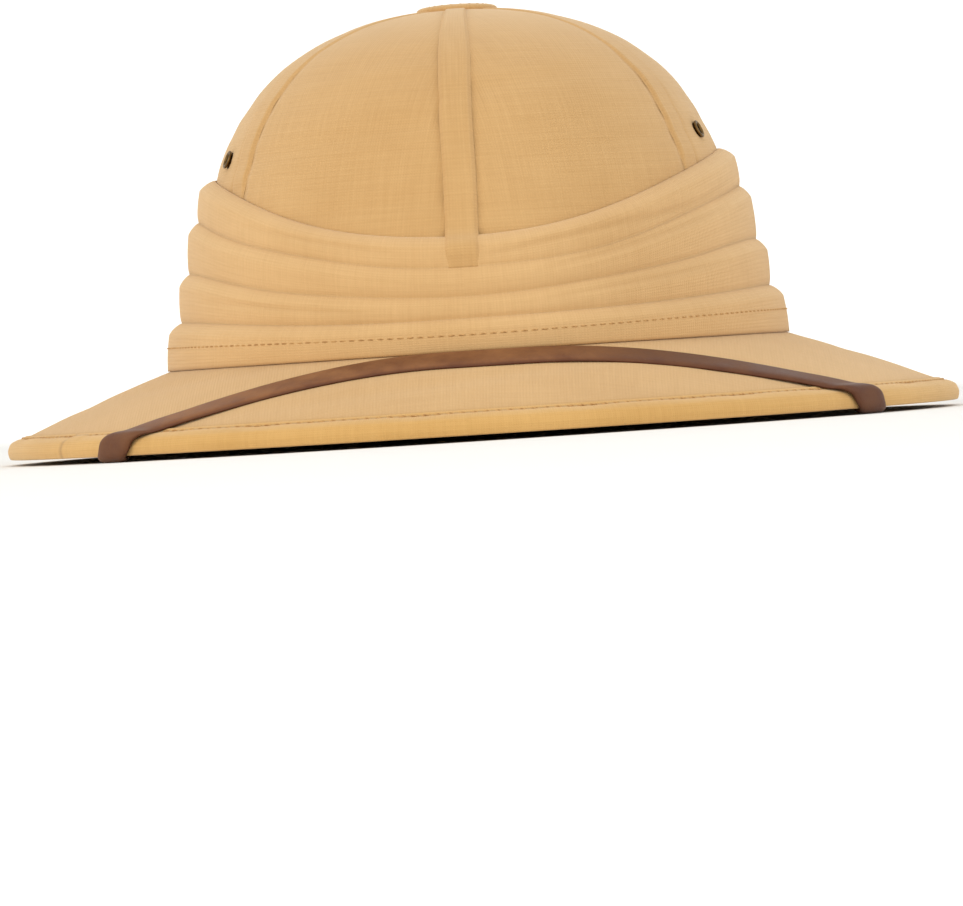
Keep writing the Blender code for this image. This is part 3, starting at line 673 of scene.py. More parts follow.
def pith_board(name):
    """Pith board, pressed in layers and sized: chalky, with a mottled felt of short fibres and small pits."""
    material, tree, shader = new_material(name)
    place = add(tree, "TexCoord")
    fibres = add(tree, "TexNoise", {
        "Vector": place.outputs["Object"], "Scale": 1 / (2.2 * MM), "Detail": 5.0, "Roughness": 0.7,
        "Distortion": 0.8,
    })
    mottle = add(tree, "TexNoise", {"Vector": place.outputs["Object"], "Scale": 1 / (30 * MM), "Detail": 2.0})
    mixed = add(tree, "Math", {0: fibres.outputs["Fac"], 1: mottle.outputs["Fac"]}, operation="MULTIPLY")
    shade = add(tree, "MapRange", {0: mixed.outputs[0], 1: 0.12, 2: 0.4, 3: 0.0, 4: 1.0})
    tone = add(tree, "Mix", {0: shade.outputs[0], 6: linear("#a98f66"), 7: linear("#cdb68c")},
               data_type="RGBA")
    bump = add(tree, "Bump", {"Height": fibres.outputs["Fac"], "Strength": 0.4, "Distance": 0.3 * MM})
    feed(shader, {"Base Color": tone.outputs[2], "Normal": bump.outputs["Normal"], "Roughness": 0.92})
    return material


def studio_paper(name):
    """Seamless background paper: matt and nearly white."""
    material, tree, shader = new_material(name)
    place = add(tree, "TexCoord")
    tooth = add(tree, "TexNoise", {"Vector": place.outputs["Object"], "Scale": 1 / (4 * MM), "Detail": 2.0})
    bump = add(tree, "Bump", {"Height": tooth.outputs["Fac"], "Strength": 0.1, "Distance": 0.1 * MM})
    feed(shader, {"Base Color": linear("#f2f1ee"), "Normal": bump.outputs["Normal"], "Roughness": 0.9})
    return material


COTTON = woven_cotton("tan_cotton_drill", "#d1a972", "#b98f59", 0.9, crease_shade_hex="#a67b47")
# Painted light: the puggaree is the crown's cotton, set paler for the light that falls on the band
BAND_COTTON = woven_cotton("puggaree_cotton_painted_light", "#d9b27d", "#c29964", 0.9, crease_shade_hex="#a67b47")
BINDING_COTTON = woven_cotton("tan_cotton_tape", "#d6ab6a", "#bf9250", 0.7, crease_shade_hex="#7a4f28")
# Painted shade: the lining's beige cotton is set darker, as it looks in the shade under the brim
LINING_COTTON = woven_cotton("lining_cotton_painted_shade", "#b3936d", "#9a7b57", 0.55)
THREAD = sewing_thread("tan_sewing_thread", "#a97b44")
LEATHER = harness_leather("brown_harness_leather")
BRASS = darkened_brass("darkened_brass")
BOARD = pith_board("pressed_pith_board")
PAPER = studio_paper("background_paper")


# The crown

def fold_height(pleat, angle):
    """front + (side - front) |sin angle|^dip: a pleat's upper fold above the crown's base."""
    rise = np.abs(np.sin(angle)) ** PUGGAREE_DIP
    side = pleat["side"] * PUGGAREE_SIDE
    front = pleat["front"] * PUGGAREE_FRONT
    return front + (side - front) * rise


def seam_distance(angle, u):
    """The distance along the crown from the nearest gore seam."""
    return np.abs(centred(angle, TAU / GORES)) * crown_speed(angle, u)


def rib_width(u):
    """A rib narrows over the top seventh of the crown's rise."""
    return RIB_TOP_WIDTH + (RIB_WIDTH - RIB_TOP_WIDTH) * np.clip(RIB_NARROWING * (1 - u), 0, 1)


def eyelet_seats():
    """For each eyelet its seat on the crown's cloth and the direction out of it."""
    angle = np.radians(EYELET_ANGLES)
    u = (fold_height(PLEATS[0], angle) + EYELET_ABOVE_BAND) / CROWN_RISE
    return crown_point(angle, u), crown_outward(angle, u)


def about_axis(points, seat, out):
    """How high points stand along an eyelet's axis, their ways out from it and how far out they are."""
    away = points - seat
    height = away @ out
    beside = away - height[..., None] * out
    return height, beside, np.linalg.norm(beside, axis=-1)


def hole_cells(points, radius):
    """The cells of a grid of points whose middles lie within radius of an eyelet's axis."""
    middle = (points[:-1] + points[1:]) / 2
    middle = (middle + np.roll(middle, -1, axis=1)) / 2
    cells = np.zeros(middle.shape[:2], bool)
    for seat, out in zip(*eyelet_seats()):
        height, _, distance = about_axis(middle, seat, out)
        cells |= (distance < radius) & (np.abs(height) < HOLE_DEPTH)
    return cells


def round_the_holes(points, cells, radius):
    """Moves the corners round each cut-out on to a true circle about the eyelet's axis."""
    cut = np.zeros(points.shape[:2], bool)
    whole = np.zeros(points.shape[:2], bool)
    for dr in (0, 1):
        for dc in (0, 1):
            rows = slice(dr, cells.shape[0] + dr)
            cut[rows] |= np.roll(cells, dc, axis=1)
            whole[rows] |= np.roll(~cells, dc, axis=1)
    border = cut & whole
    for seat, out in zip(*eyelet_seats()):
        height, beside, distance = about_axis(points, seat, out)
        mine = border & (distance < 2 * radius) & (np.abs(height) < HOLE_DEPTH)
        onto = seat + height[..., None] * out + radius * beside / np.maximum(distance, 1e-9)[..., None]
        points = np.where(mine[..., None], onto, points)
    return points


def punched_layers(outside, inside, radius):
    """Two layers with a round hole for each eyelet: their points, and the cells that are cut out."""
    cells = hole_cells(outside, radius)
    points = two_layers(*[round_the_holes(layer, cells, radius) for layer in (outside, inside)])
    holes = np.zeros((len(points) - 1, points.shape[1]), bool)
    holes[: len(cells)] = cells
    return points, holes


CLOTH_WAVES = (
    {"count": 5, "size": 0.10 * MM, "turn": 0.4},
    {"count": 9, "size": 0.07 * MM, "turn": 2.1},
    {"count": 14, "size": 0.05 * MM, "turn": 4.0},
)


def cloth_waver(angle, u):
    """The slow unevenness of the crown's cloth, which dies away at the top."""
    slow = waver(angle + 1.3 * u, CLOTH_WAVES) + waver(2 * u * math.pi - 0.5 * angle, CLOTH_WAVES)
    return slow * np.clip(4 * (1 - u), 0, 1)


# Where the crown's top is pressed flatter, as shares of its rise, and by how much
PRESSED_FROM = 0.70
PRESSED_OVER = 0.24
PRESSED_BY = 0.55

# Beside each rib: the dip, how far out it is deepest and its width; the ripple, its length and how far out it
# reaches; and the painted shade in the dip. All three end where the crown narrows to SEAM_END of its width,
# under the button.
DIP_DEPTH = 0.35 * MM
DIP_PLACE = 0.3 * MM
DIP_WIDTH = 1.5 * MM
RIPPLE_DEPTH = 0.07 * MM
RIPPLE_LENGTH = 9 * MM
RIPPLE_REACH = 6 * MM
SEAM_SHADE = 0.26
SEAM_SHADE_WIDTH = 1.1 * MM
SEAM_END = 0.14


def rib_fullness(u):
    """How full the ribs stand: pressed flatter over the top of the crown."""
    return 1 - PRESSED_BY * smooth_step((u - PRESSED_FROM) / PRESSED_OVER)


def seam_strength(u):
    """The cloth beside the ribs is pressed as they are, and its dips and painted shade end under the button.
    """
    return (crown_share(u) > SEAM_END) * rib_fullness(u)


def crown_relief(angle, u):
    """How far the crown's cloth stands off its smooth form: it dips where it is drawn down beside each rib,
    ripples there, and wavers slowly all over."""
    beside = seam_distance(angle, u) - rib_width(u) / 2
    dip = -DIP_DEPTH * bell(beside - DIP_PLACE, DIP_WIDTH)
    ripple = RIPPLE_DEPTH * np.sin(u * CROWN_RISE * TAU / RIPPLE_LENGTH + 2 * np.sin(3 * angle))
    ripple = ripple * bell(beside, RIPPLE_REACH)
    return (dip + ripple) * seam_strength(u) + cloth_waver(angle, u)


# How finely the crown's cloth and the board are divided: round, where the cloth's number is for one gore, and
# from the base to the top; and the board from the crown out to the rim
CROWN_COLUMNS = 80
CROWN_ROWS = 100
BOARD_COLUMNS = 400
BOARD_ROWS = 64
BOARD_BRIM_ROWS = 16


def make_crown_cloth():
    """The six gores as one closed sheet: the crown's own surface plus crown_relief outside and CLOTH less
    inside.

    The weave runs up the middle of each gore: u is the distance from the gore's middle line and v the length
    up the profile.
    """
    t = turns_by_seams(CROWN_COLUMNS)
    u = crown_rows(CROWN_ROWS)[::-1]
    tt, uu = np.meshgrid(t, u)
    outside = crown_point(tt, uu, crown_relief(tt, uu))
    points, holes = punched_layers(outside, crown_point(tt, uu, -CLOTH), CLOTH_HOLE)
    edge = np.append(t, TAU)
    step = TAU / GORES
    middle = (np.floor(edge / step) + 0.5) * step
    across = (edge - middle)[None] * crown_speed(middle[None], u[:, None]) / MM
    up = run_lengths(points[: len(u)], 0, False)[:, None] + np.zeros_like(across)
    uv = np.stack([across, -up], axis=-1)
    # Painted shade in the dip beside each rib, on the cloth's outer face only
    crease = SEAM_SHADE * bell(seam_distance(tt, uu) - rib_width(uu) / 2, SEAM_SHADE_WIDTH)
    crease = crease * seam_strength(uu)
    piece = grid_piece(
        "crown_cloth", points, COTTON, uv=two_layers(uv, uv), holes=holes,
        values={"crease": two_layers(crease, 0 * crease)},
    )
    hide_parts(*[f"crown_panel_{k + 1}" for k in range(GORES)])


def make_shell():
    """The board under the cloth, inside and out: the crown's surface 1.3 mm in and 3 mm further, which run on
    as the brim's surface 1.3 mm and 3.3 mm under its cloth."""
    t = turns(BOARD_COLUMNS)
    u = crown_rows(BOARD_ROWS)[::-1]
    rim = brim_inset(t, GAP + BINDING_CLOTH)
    corner = brim_outset(t, -CLOTH)
    inner_corner = brim_outset(t, BOARD_TOP - CROWN_BOARD + GAP)
    tt, uu = np.meshgrid(t, u[:-1])
    share = np.linspace(0, 1, BOARD_BRIM_ROWS)[:, None]
    outside = np.concatenate([
        crown_point(tt, uu, BOARD_TOP),
        brim_point(t, corner + (rim - corner) * share, BOARD_TOP),
    ])
    inside = np.concatenate([
        crown_point(tt, uu, BOARD_TOP - CROWN_BOARD),
        brim_point(t, inner_corner + (rim - inner_corner) * share, BOARD_UNDER),
    ])
    points, holes = punched_layers(outside, inside, BOARD_HOLE)
    piece = grid_piece("pith_shell", points, BOARD, holes=holes)
    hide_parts("shell")


# The pleated band

PLEAT_WAVES = (
    ({"count": 3, "size": 0.35 * MM, "turn": 0.9}, {"count": 7, "size": 0.22 * MM, "turn": 2.2}),
    ({"count": 4, "size": 0.40 * MM, "turn": 3.1}, {"count": 9, "size": 0.20 * MM, "turn": 0.3}),
    ({"count": 3, "size": 0.35 * MM, "turn": 5.2}, {"count": 8, "size": 0.20 * MM, "turn": 4.4}),
    ({"count": 2, "size": 0.25 * MM, "turn": 1.7}, {"count": 5, "size": 0.15 * MM, "turn": 0.8}),
)

# Shallow creases that cross a pleat: where each starts and ends (angle in degrees, height in mm above the
# crown's base), its depth in mm and its half width in mm
CROSS_FOLDS = (
    {"from": (3, 25.5), "to": (52, 38.5), "depth": 0.50, "width": 1.1},
    {"from": (12, 19.5), "to": (66, 38.0), "depth": 0.60, "width": 1.1},
    {"from": (14, 11.5), "to": (60, 20.5), "depth": 0.55, "width": 1.0},
    {"from": (30, 30.5), "to": (74, 46.0), "depth": 0.35, "width": 1.2},
    {"from": (-12, 27.5), "to": (-50, 40.5), "depth": 0.35, "width": 1.2},
    {"from": (-62, 19.0), "to": (-18, 10.5), "depth": 0.40, "width": 1.0},
    {"from": (112, 41.0), "to": (158, 27.5), "depth": 0.50, "width": 1.2},
    {"from": (120, 23.0), "to": (165, 18.0), "depth": 0.45, "width": 1.1},
    {"from": (-160, 25.5), "to": (-112, 38.0), "depth": 0.50, "width": 1.2},
    {"from": (-170, 17.0), "to": (-126, 22.5), "depth": 0.40, "width": 1.1},
)
# Painted shade in the cross creases, for each millimetre of their depth
CROSS_SHADE = 0.42


def cross_fold_depth(angle, height):
    """A bell-shaped trough across each crease line that fades out towards its two ends."""
    wrapped = np.degrees(centred(angle, TAU))
    total = np.zeros(np.broadcast(angle, height).shape)
    for fold in CROSS_FOLDS:
        (from_angle, from_height), (to_angle, to_height) = fold["from"], fold["to"]
        share = (wrapped - from_angle) / (to_angle - from_angle)
        line = from_height + (to_height - from_height) * share
        fade = np.sin(math.pi * np.clip(share, 0, 1)) ** 0.6
        total += fold["depth"] * fade * bell(height / MM - line, fold["width"])
    return total * MM


def pleat_top(k, angle):
    """The upper fold of pleat k: fold_height with a slow waver."""
    return fold_height(PLEATS[k], angle) + waver(angle, PLEAT_WAVES[k])


def pleat_fullness(angle):
    """How full the pleats stand: whole at the sides, and FRONT_FULLNESS in front and behind, where the cloth
    is drawn tight."""
    return FRONT_FULLNESS + (1 - FRONT_FULLNESS) * np.abs(np.sin(angle)) ** 1.4


def pleat_out(k, angle, height):
    """How far pleat k stands off the crown at a height, from its upper fold down to the crease below it.

    It comes out of the crease round its fold, a superellipse of the power FOLD_SHAPE, and then leans back in
    a straight line with a slight belly to the crease that the next pleat makes.
    """
    pleat = PLEATS[k]
    top = pleat_top(k, angle)
    below = pleat_top(k + 1, angle) if k + 1 < len(PLEATS) else 0 * top
    taut = pleat_fullness(angle)
    round_off = np.minimum(FOLD_ROUND, FOLD_SHARE * (top - below))
    stand = pleat["upper"] * PLEAT_STAND
    before = GAP + 0 * taut
    if k:
        before = stand - (stand - PLEATS[k - 1]["lower"] * PLEAT_STAND + CREASE_DEPTH) * taut
    over = np.clip((top - height) / round_off, 0, 1)
    out = before + (stand - before) * (1 - (1 - over) ** FOLD_SHAPE) ** (1 / FOLD_SHAPE)
    if k + 1 == len(PLEATS):
        return out
    next_stand = PLEATS[k + 1]["upper"] * PLEAT_STAND
    lower = next_stand - (next_stand - pleat["lower"] * PLEAT_STAND) * taut
    v = np.clip((top - round_off - height) / (top - round_off - below), 0, 1)
    dip = bell(height - below, CREASE_WIDTH)
    return out + (lower - stand) * v + PLEAT_BELLY * np.sin(math.pi * v) - CREASE_DEPTH * dip * taut


BAND_COLUMNS = 900
FOLD_ROWS = 9
FACE_ROWS = 12

# How dark the painted shade in a crease is, and the top fold's as a share of it. It fades over a part of the
# fold's turn in radians, and at the hem over a share of the strip's height.
CREASE_SHADE = 0.36
TOP_FOLD_SHADE = 0.6
CREASE_FADE = 0.4
HEM_FADE = 0.12


def band_rows(angle):
    """The puggaree's outer face from the top down as rows of points, with the painted crease shade at each
    point.
    The last pleat runs down to the brim in a straight line."""
    points, creases = [], []
    turn = np.linspace(0, math.pi / 2, FOLD_ROWS)[:, None]
    v = np.linspace(0, 1, FACE_ROWS + 1)[1:, None]
    angle = angle[None]
    taut = pleat_fullness(angle)
    for k in range(len(PLEATS)):
        last = k + 1 == len(PLEATS)
        top = pleat_top(k, angle)
        below = 0 * top if last else pleat_top(k + 1, angle)
        round_off = np.minimum(FOLD_ROUND, FOLD_SHARE * (top - below))
        height = top - round_off * (1 - np.cos(turn) ** (2 / FOLD_SHAPE))
        out = pleat_out(k, angle, height) - cross_fold_depth(angle, height) * np.sin(turn)
        points.append(crown_point(angle, height / CROWN_RISE, out))
        # Painted shade in the creases, and along the cross creases
        crossing = CROSS_SHADE * cross_fold_depth(angle, height) / MM
        shade = CREASE_SHADE * (1.0 if k else TOP_FOLD_SHADE)
        creases.append(bell(turn, CREASE_FADE) * taut * shade + crossing)
        if last:
            high = points[-1][-1]
            low = brim_point(angle[0], brim_outset(angle[0], HEM_STAND), GAP)
            belly = PLEAT_BELLY * np.sin(math.pi * v)[..., None] * crown_outward(angle, 0.0)
            points.append(high + (low - high) * v[..., None] + belly)
            creases.append(bell(1 - v, HEM_FADE) * CREASE_SHADE + 0 * taut)
            continue
        height = top - round_off + (below - top + round_off) * v
        dip = bell(height - below, CREASE_WIDTH)
        crossing = cross_fold_depth(angle, height) * (1 - dip)
        points.append(crown_point(angle, height / CROWN_RISE, pleat_out(k, angle, height) - crossing))
        creases.append(dip * taut * CREASE_SHADE + CROSS_SHADE * crossing / MM)
    return np.concatenate(points), np.concatenate(creases)


def make_puggaree():
    """The pleated band as one closed ring: band_rows outside, and the crown's own form inside, GAP off it."""
    t = turns(BAND_COLUMNS)
    outer, crease = band_rows(t)
    top = pleat_top(0, t)
    shares = np.array([0.0, 0.35, 0.7, 0.9, 1.0])[:, None]
    inner = crown_point(t, shares * top / CROWN_RISE, GAP)
    foot = brim_point(t, brim_outset(t, GAP), GAP)[None]
    points = np.concatenate([outer, foot, inner[1:-1]])
    values = np.concatenate([crease, np.zeros((len(points) - len(outer), len(t)))])
    piece = grid_piece("puggaree_cloth", points, BAND_COTTON, tube=True, values={"crease": values})
    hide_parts("puggaree")


def hem_line(angle, height):
    """Points on the lowest strip of the band, at a height above the crown's base, with their outward ways."""
    outer, _ = band_rows(angle)
    last = outer[-FACE_ROWS - 1:]
    level = last[..., 2] - CROWN_Z
    share = np.clip((level[0] - height) / (level[0] - level[-1]), 0.02, 0.98) * FACE_ROWS
    low = np.floor(share).astype(int)
    part = (share - low)[:, None]
    columns = np.arange(len(angle))
    points = last[low, columns] * (1 - part) + last[low + 1, columns] * part
    return points, crown_outward(angle, 0.0)


# The band's stitching above the crown's base
BAND_SEAM_FRONT = 3.4 * MM
BAND_SEAM_SIDE = 5.8 * MM


def make_band_stitching():
    """Running stitch along the lowest strip, which rises from the front to the sides as |sin angle|^1.5."""
    t = np.linspace(0, TAU, 1201)
    height = BAND_SEAM_FRONT + (BAND_SEAM_SIDE - BAND_SEAM_FRONT) * np.abs(np.sin(t)) ** 1.5
    make_stitches("band_stitching", [hem_line(t, height)], **BAND_STITCH)


# Seam ribs and the top button

RIB_SECTION = 40
RIB_ROWS = 120
RIB_SHOULDER = 0.26
RIB_SINK = 0.25 * MM
RIB_TUCK = 3.0 * MM
RIB_FADE = 5.0 * MM
RIB_THINNEST = 0.14
RIB_UNDER_BUTTON = 1.5 * MM
RIB_WOBBLE = 0.12 * MM
RIB_WOBBLE_LENGTH = 41 * MM

# Over the top pleat's edge: the width of the running mean, how far below the edge the rib begins to leave the
# cloth, how much further it is clear of it, and how far it stands off
BRIDGE = 2.2 * MM
BRIDGE_REACH = 8 * MM
BRIDGE_EASE = 3 * MM
BRIDGE_CLEAR = 0.1 * MM


def front_rib_base(angle, height):
    """What the front rib lies on: the crown's cloth and the top pleat, whichever stands out further, and a
    running mean of them over the step between, which the rib bridges."""
    fine = np.linspace(height.min() - 4 * MM, height.max() + 4 * MM, 900)
    at = np.full_like(fine, angle)
    on_band = fine < pleat_top(0, at)
    out = np.where(on_band, pleat_out(0, at, fine), cloth_waver(at, fine / CROWN_RISE))
    reach = BRIDGE / (fine[1] - fine[0])
    kernel = bell(np.linspace(-2, 2, int(4 * reach) | 1), 1)
    mean = np.convolve(np.pad(out, len(kernel) // 2, mode="edge"), kernel / kernel.sum(), mode="valid")
    by_step = smooth_step((fine - pleat_top(0, at) + BRIDGE_REACH) / BRIDGE_EASE)
    return np.interp(height, fine, out + by_step * (np.maximum(mean - out, 0) + BRIDGE_CLEAR))


def make_rib(k):
    """A folded strip over one seam, pressed flat, RIB_WIDTH wide and RIB_TOP_WIDTH at the top.

    Its section is level, and comes down to the cloth at both edges as a smooth step over RIB_SHOULDER of its
    half width. It thins towards its foot, which is tucked in under the band, or in front under the second
    pleat.
    """
    angle = TAU * k / GORES
    front = k == 0
    top = float(crown_level_at_radius(np.array(angle), BUTTON_RADIUS - RIB_UNDER_BUTTON))
    fold = float(pleat_top(1 if front else 0, np.array([angle]))[0])
    foot = fold - (GAP if front else RIB_TUCK)
    rows = crown_rows(RIB_ROWS, foot / CROWN_RISE, top)[::-1]
    height = rows * CROWN_RISE
    base = front_rib_base(angle, height) if front else cloth_waver(angle, rows)
    thinnest = 0.0 if front else RIB_THINNEST
    thin = thinnest + (1 - thinnest) * smooth_step((height - fold) / RIB_FADE)
    p = turns(RIB_SECTION)
    across = np.cos(p)
    shoulder = smooth_step((1 - np.abs(across)) / RIB_SHOULDER) * (np.sin(p) > 0)
    rise = (RIB_CLOTH * thin * rib_fullness(rows))[:, None] * shoulder
    lift = base[:, None] - RIB_SINK * (1 - shoulder) + rise
    # Each point across takes its own angle, so that the rib keeps its width in millimetres
    wobble = RIB_WOBBLE * np.sin(height * TAU / RIB_WOBBLE_LENGTH + 2.0 * k)
    sideways = across[None] * rib_width(rows)[:, None] / 2 + wobble[:, None]
    t = angle + sideways / crown_speed(angle, rows)[:, None]
    loops = crown_point(t, rows[:, None], lift)
    piece = strip_piece("seam_rib_front" if front else f"seam_rib_{k + 1}", loops, COTTON)
    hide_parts("crown_rib_front" if front else f"crown_rib_{k + 1}")


# The button's section from the middle out and down, as shares of BUTTON_RADIUS and BUTTON_RISE
BUTTON_SECTION = (
    {"out": 0.00, "up": 1.00},
    {"out": 0.12, "up": 1.00},
    {"out": 0.30, "up": 0.995},
    {"out": 0.50, "up": 0.98},
    {"out": 0.68, "up": 0.945},
    {"out": 0.80, "up": 0.895},
    {"out": 0.88, "up": 0.82},
    {"out": 0.94, "up": 0.70},
    {"out": 0.98, "up": 0.50},
    {"out": 1.00, "up": 0.20},
    {"out": 1.00, "up": -0.15},
    {"out": 0.98, "up": -0.35},
    {"out": 0.90, "up": -0.35},
    {"out": 0.60, "up": -0.35},
    {"out": 0.00, "up": -0.35},
)
BUTTON_COLUMNS = 144
BUTTON_ROWS = 57

# The button's seam: how far out it lies, and the groove's depth, its width and the height of its thread
BUTTON_SEAM = 0.74
BUTTON_SEAM_DIP = 0.14
BUTTON_SEAM_WIDTH = 0.05
BUTTON_SEAM_UP = 0.92 - BUTTON_SEAM_DIP


def make_button():
    """A cloth-covered cap: BUTTON_SECTION turned about the crown's top, with a groove for its seam. Its edge
    is drawn down to the crown's cloth."""
    t = turns(BUTTON_COLUMNS)
    knots = np.arange(len(BUTTON_SECTION))
    at = np.linspace(0, knots[-1], BUTTON_ROWS)
    out = np.interp(at, knots, [knot["out"] for knot in BUTTON_SECTION])
    up = np.interp(at, knots, [knot["up"] for knot in BUTTON_SECTION])
    up = up - BUTTON_SEAM_DIP * bell(out - BUTTON_SEAM, BUTTON_SEAM_WIDTH) * (up > 0.5)
    rows = []
    for share, lift in zip(out, up):
        u = crown_level_at_radius(t, max(share, 1e-4) * BUTTON_RADIUS)
        base = crown_point(t, np.minimum(u, 1.0))
        base[:, 2] += GAP + lift * BUTTON_RISE
        rows.append(base)
    points = np.stack(rows)
    crease = np.zeros(points.shape[:2])
    piece = grid_piece("crown_button", points, COTTON, uv=plan_uv(points), values={"crease": crease})
    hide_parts("top_button")
    angle = np.linspace(0, TAU, 181)
    line = crown_point(angle, crown_level_at_radius(angle, BUTTON_SEAM * BUTTON_RADIUS))
    line[:, 2] += GAP + BUTTON_SEAM_UP * BUTTON_RISE
    upward = vectors(0 * angle, 0.0, 1.0)
    make_stitches("button_stitching", [(line, upward)], **BUTTON_STITCH)


# The brim

BRIM_COLUMNS = 720
BRIM_ROWS = 26

# The brim's cloths run in under the binding, which draws the cover down and the lining up there
BRIM_TUCK = 0.4 * MM
COVER_DRAWN = 0.25 * MM
LINING_DRAWN = 0.2 * MM

# The painted shade along both borders of the cover: how dark it is, and over which share of the way it fades
BRIM_SHADES = {
    "binding": {"dark": 0.50, "fade": 0.03},
    "band": {"dark": 0.25, "fade": 0.12},
}


def brim_grid(start):
    """A grid on the brim from s = start out to just inside the binding's border: its angles, each point's s,
    and each row's share of the way."""
    t = turns(BRIM_COLUMNS)
    share = np.linspace(0, 1, BRIM_ROWS)[:, None]
    return t, start + (brim_inset(t, BINDING_WIDTH - BRIM_TUCK) - start) * share, share


def make_brim_cover():
    """The cloth on the brim's upper face: the brim's own surface with a slow waver, drawn down at the binding
    as the eighth power of the way out."""
    t, s, share = brim_grid(brim_outset(turns(BRIM_COLUMNS), GAP))
    slow = waver(t + 2.0 * s, CLOTH_WAVES) * np.sin(math.pi * share)
    outside = brim_point(t, s, slow - COVER_DRAWN * share ** 8)
    points = two_layers(outside, brim_point(t, s, -CLOTH))
    # Painted shade along the binding and along the band
    rim, band = BRIM_SHADES["binding"], BRIM_SHADES["band"]
    crease = rim["dark"] * bell(1 - share, rim["fade"]) + band["dark"] * bell(share, band["fade"]) + 0 * s
    piece = grid_piece(
        "brim_cloth", points, COTTON, tube=True, uv=plan_uv(points, wrap_rows=True),
        values={"crease": two_layers(crease, 0 * crease)},
    )
    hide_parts("brim_cover")


def make_brim_lining():
    """The plain cloth under the brim, from the board's inner corner to the binding, made as the cover is."""
    t, s, share = brim_grid(0.0)
    slow = waver(t + 1.0 - 2.0 * s, CLOTH_WAVES) * np.sin(math.pi * share)
    under = brim_point(t, s, LINING_UNDER + slow + LINING_DRAWN * share ** 8)
    points = two_layers(brim_point(t, s, LINING_TOP), under)
    uv = plan_uv(points, wrap_rows=True)
    piece = grid_piece("lining_cloth", points, LINING_COTTON, tube=True, uv=uv)
    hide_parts("brim_lining")


def smooth_rows(keys, steps):
    """Rows on a smooth curve through key rows: a cubic on each span, whose ends point as their neighbours
    lie."""
    before = np.concatenate([keys[:1], keys[:-1]])
    after = np.concatenate([keys[1:], keys[-1:]])
    slope = (after - before) / 2
    v = np.linspace(0, 1, steps, endpoint=False)[None, :, None, None]
    p, q = keys[:-1, None], keys[1:, None]
    m, n = slope[:-1, None], slope[1:, None]
    curve = (2 * v ** 3 - 3 * v ** 2 + 1) * p + (v ** 3 - 2 * v ** 2 + v) * m
    curve = curve + (3 * v ** 2 - 2 * v ** 3) * q + (v ** 3 - v ** 2) * n
    return np.concatenate([curve.reshape(-1, *keys.shape[1:]), keys[-1:]])


BINDING_COLUMNS = 900
BINDING_STEPS = 4

# The binding's places, measured in from its border
BINDING_EDGE = 0.5 * MM
BINDING_GROOVE = 1.7 * MM
BINDING_GROOVE_UNDER = 1.9 * MM
BINDING_CREST = 3.4 * MM

# Where the binding's end laps over its beginning, on the helmet's right-hand side: how far it stands up
# there, over what length it rises, how far it reaches and over what length it falls
BINDING_SEAM = math.radians(-57)
LAP_STAND = 0.35 * MM
LAP_RISE = 0.9 * MM
LAP_LENGTH = 9 * MM
LAP_FALL = 3 * MM


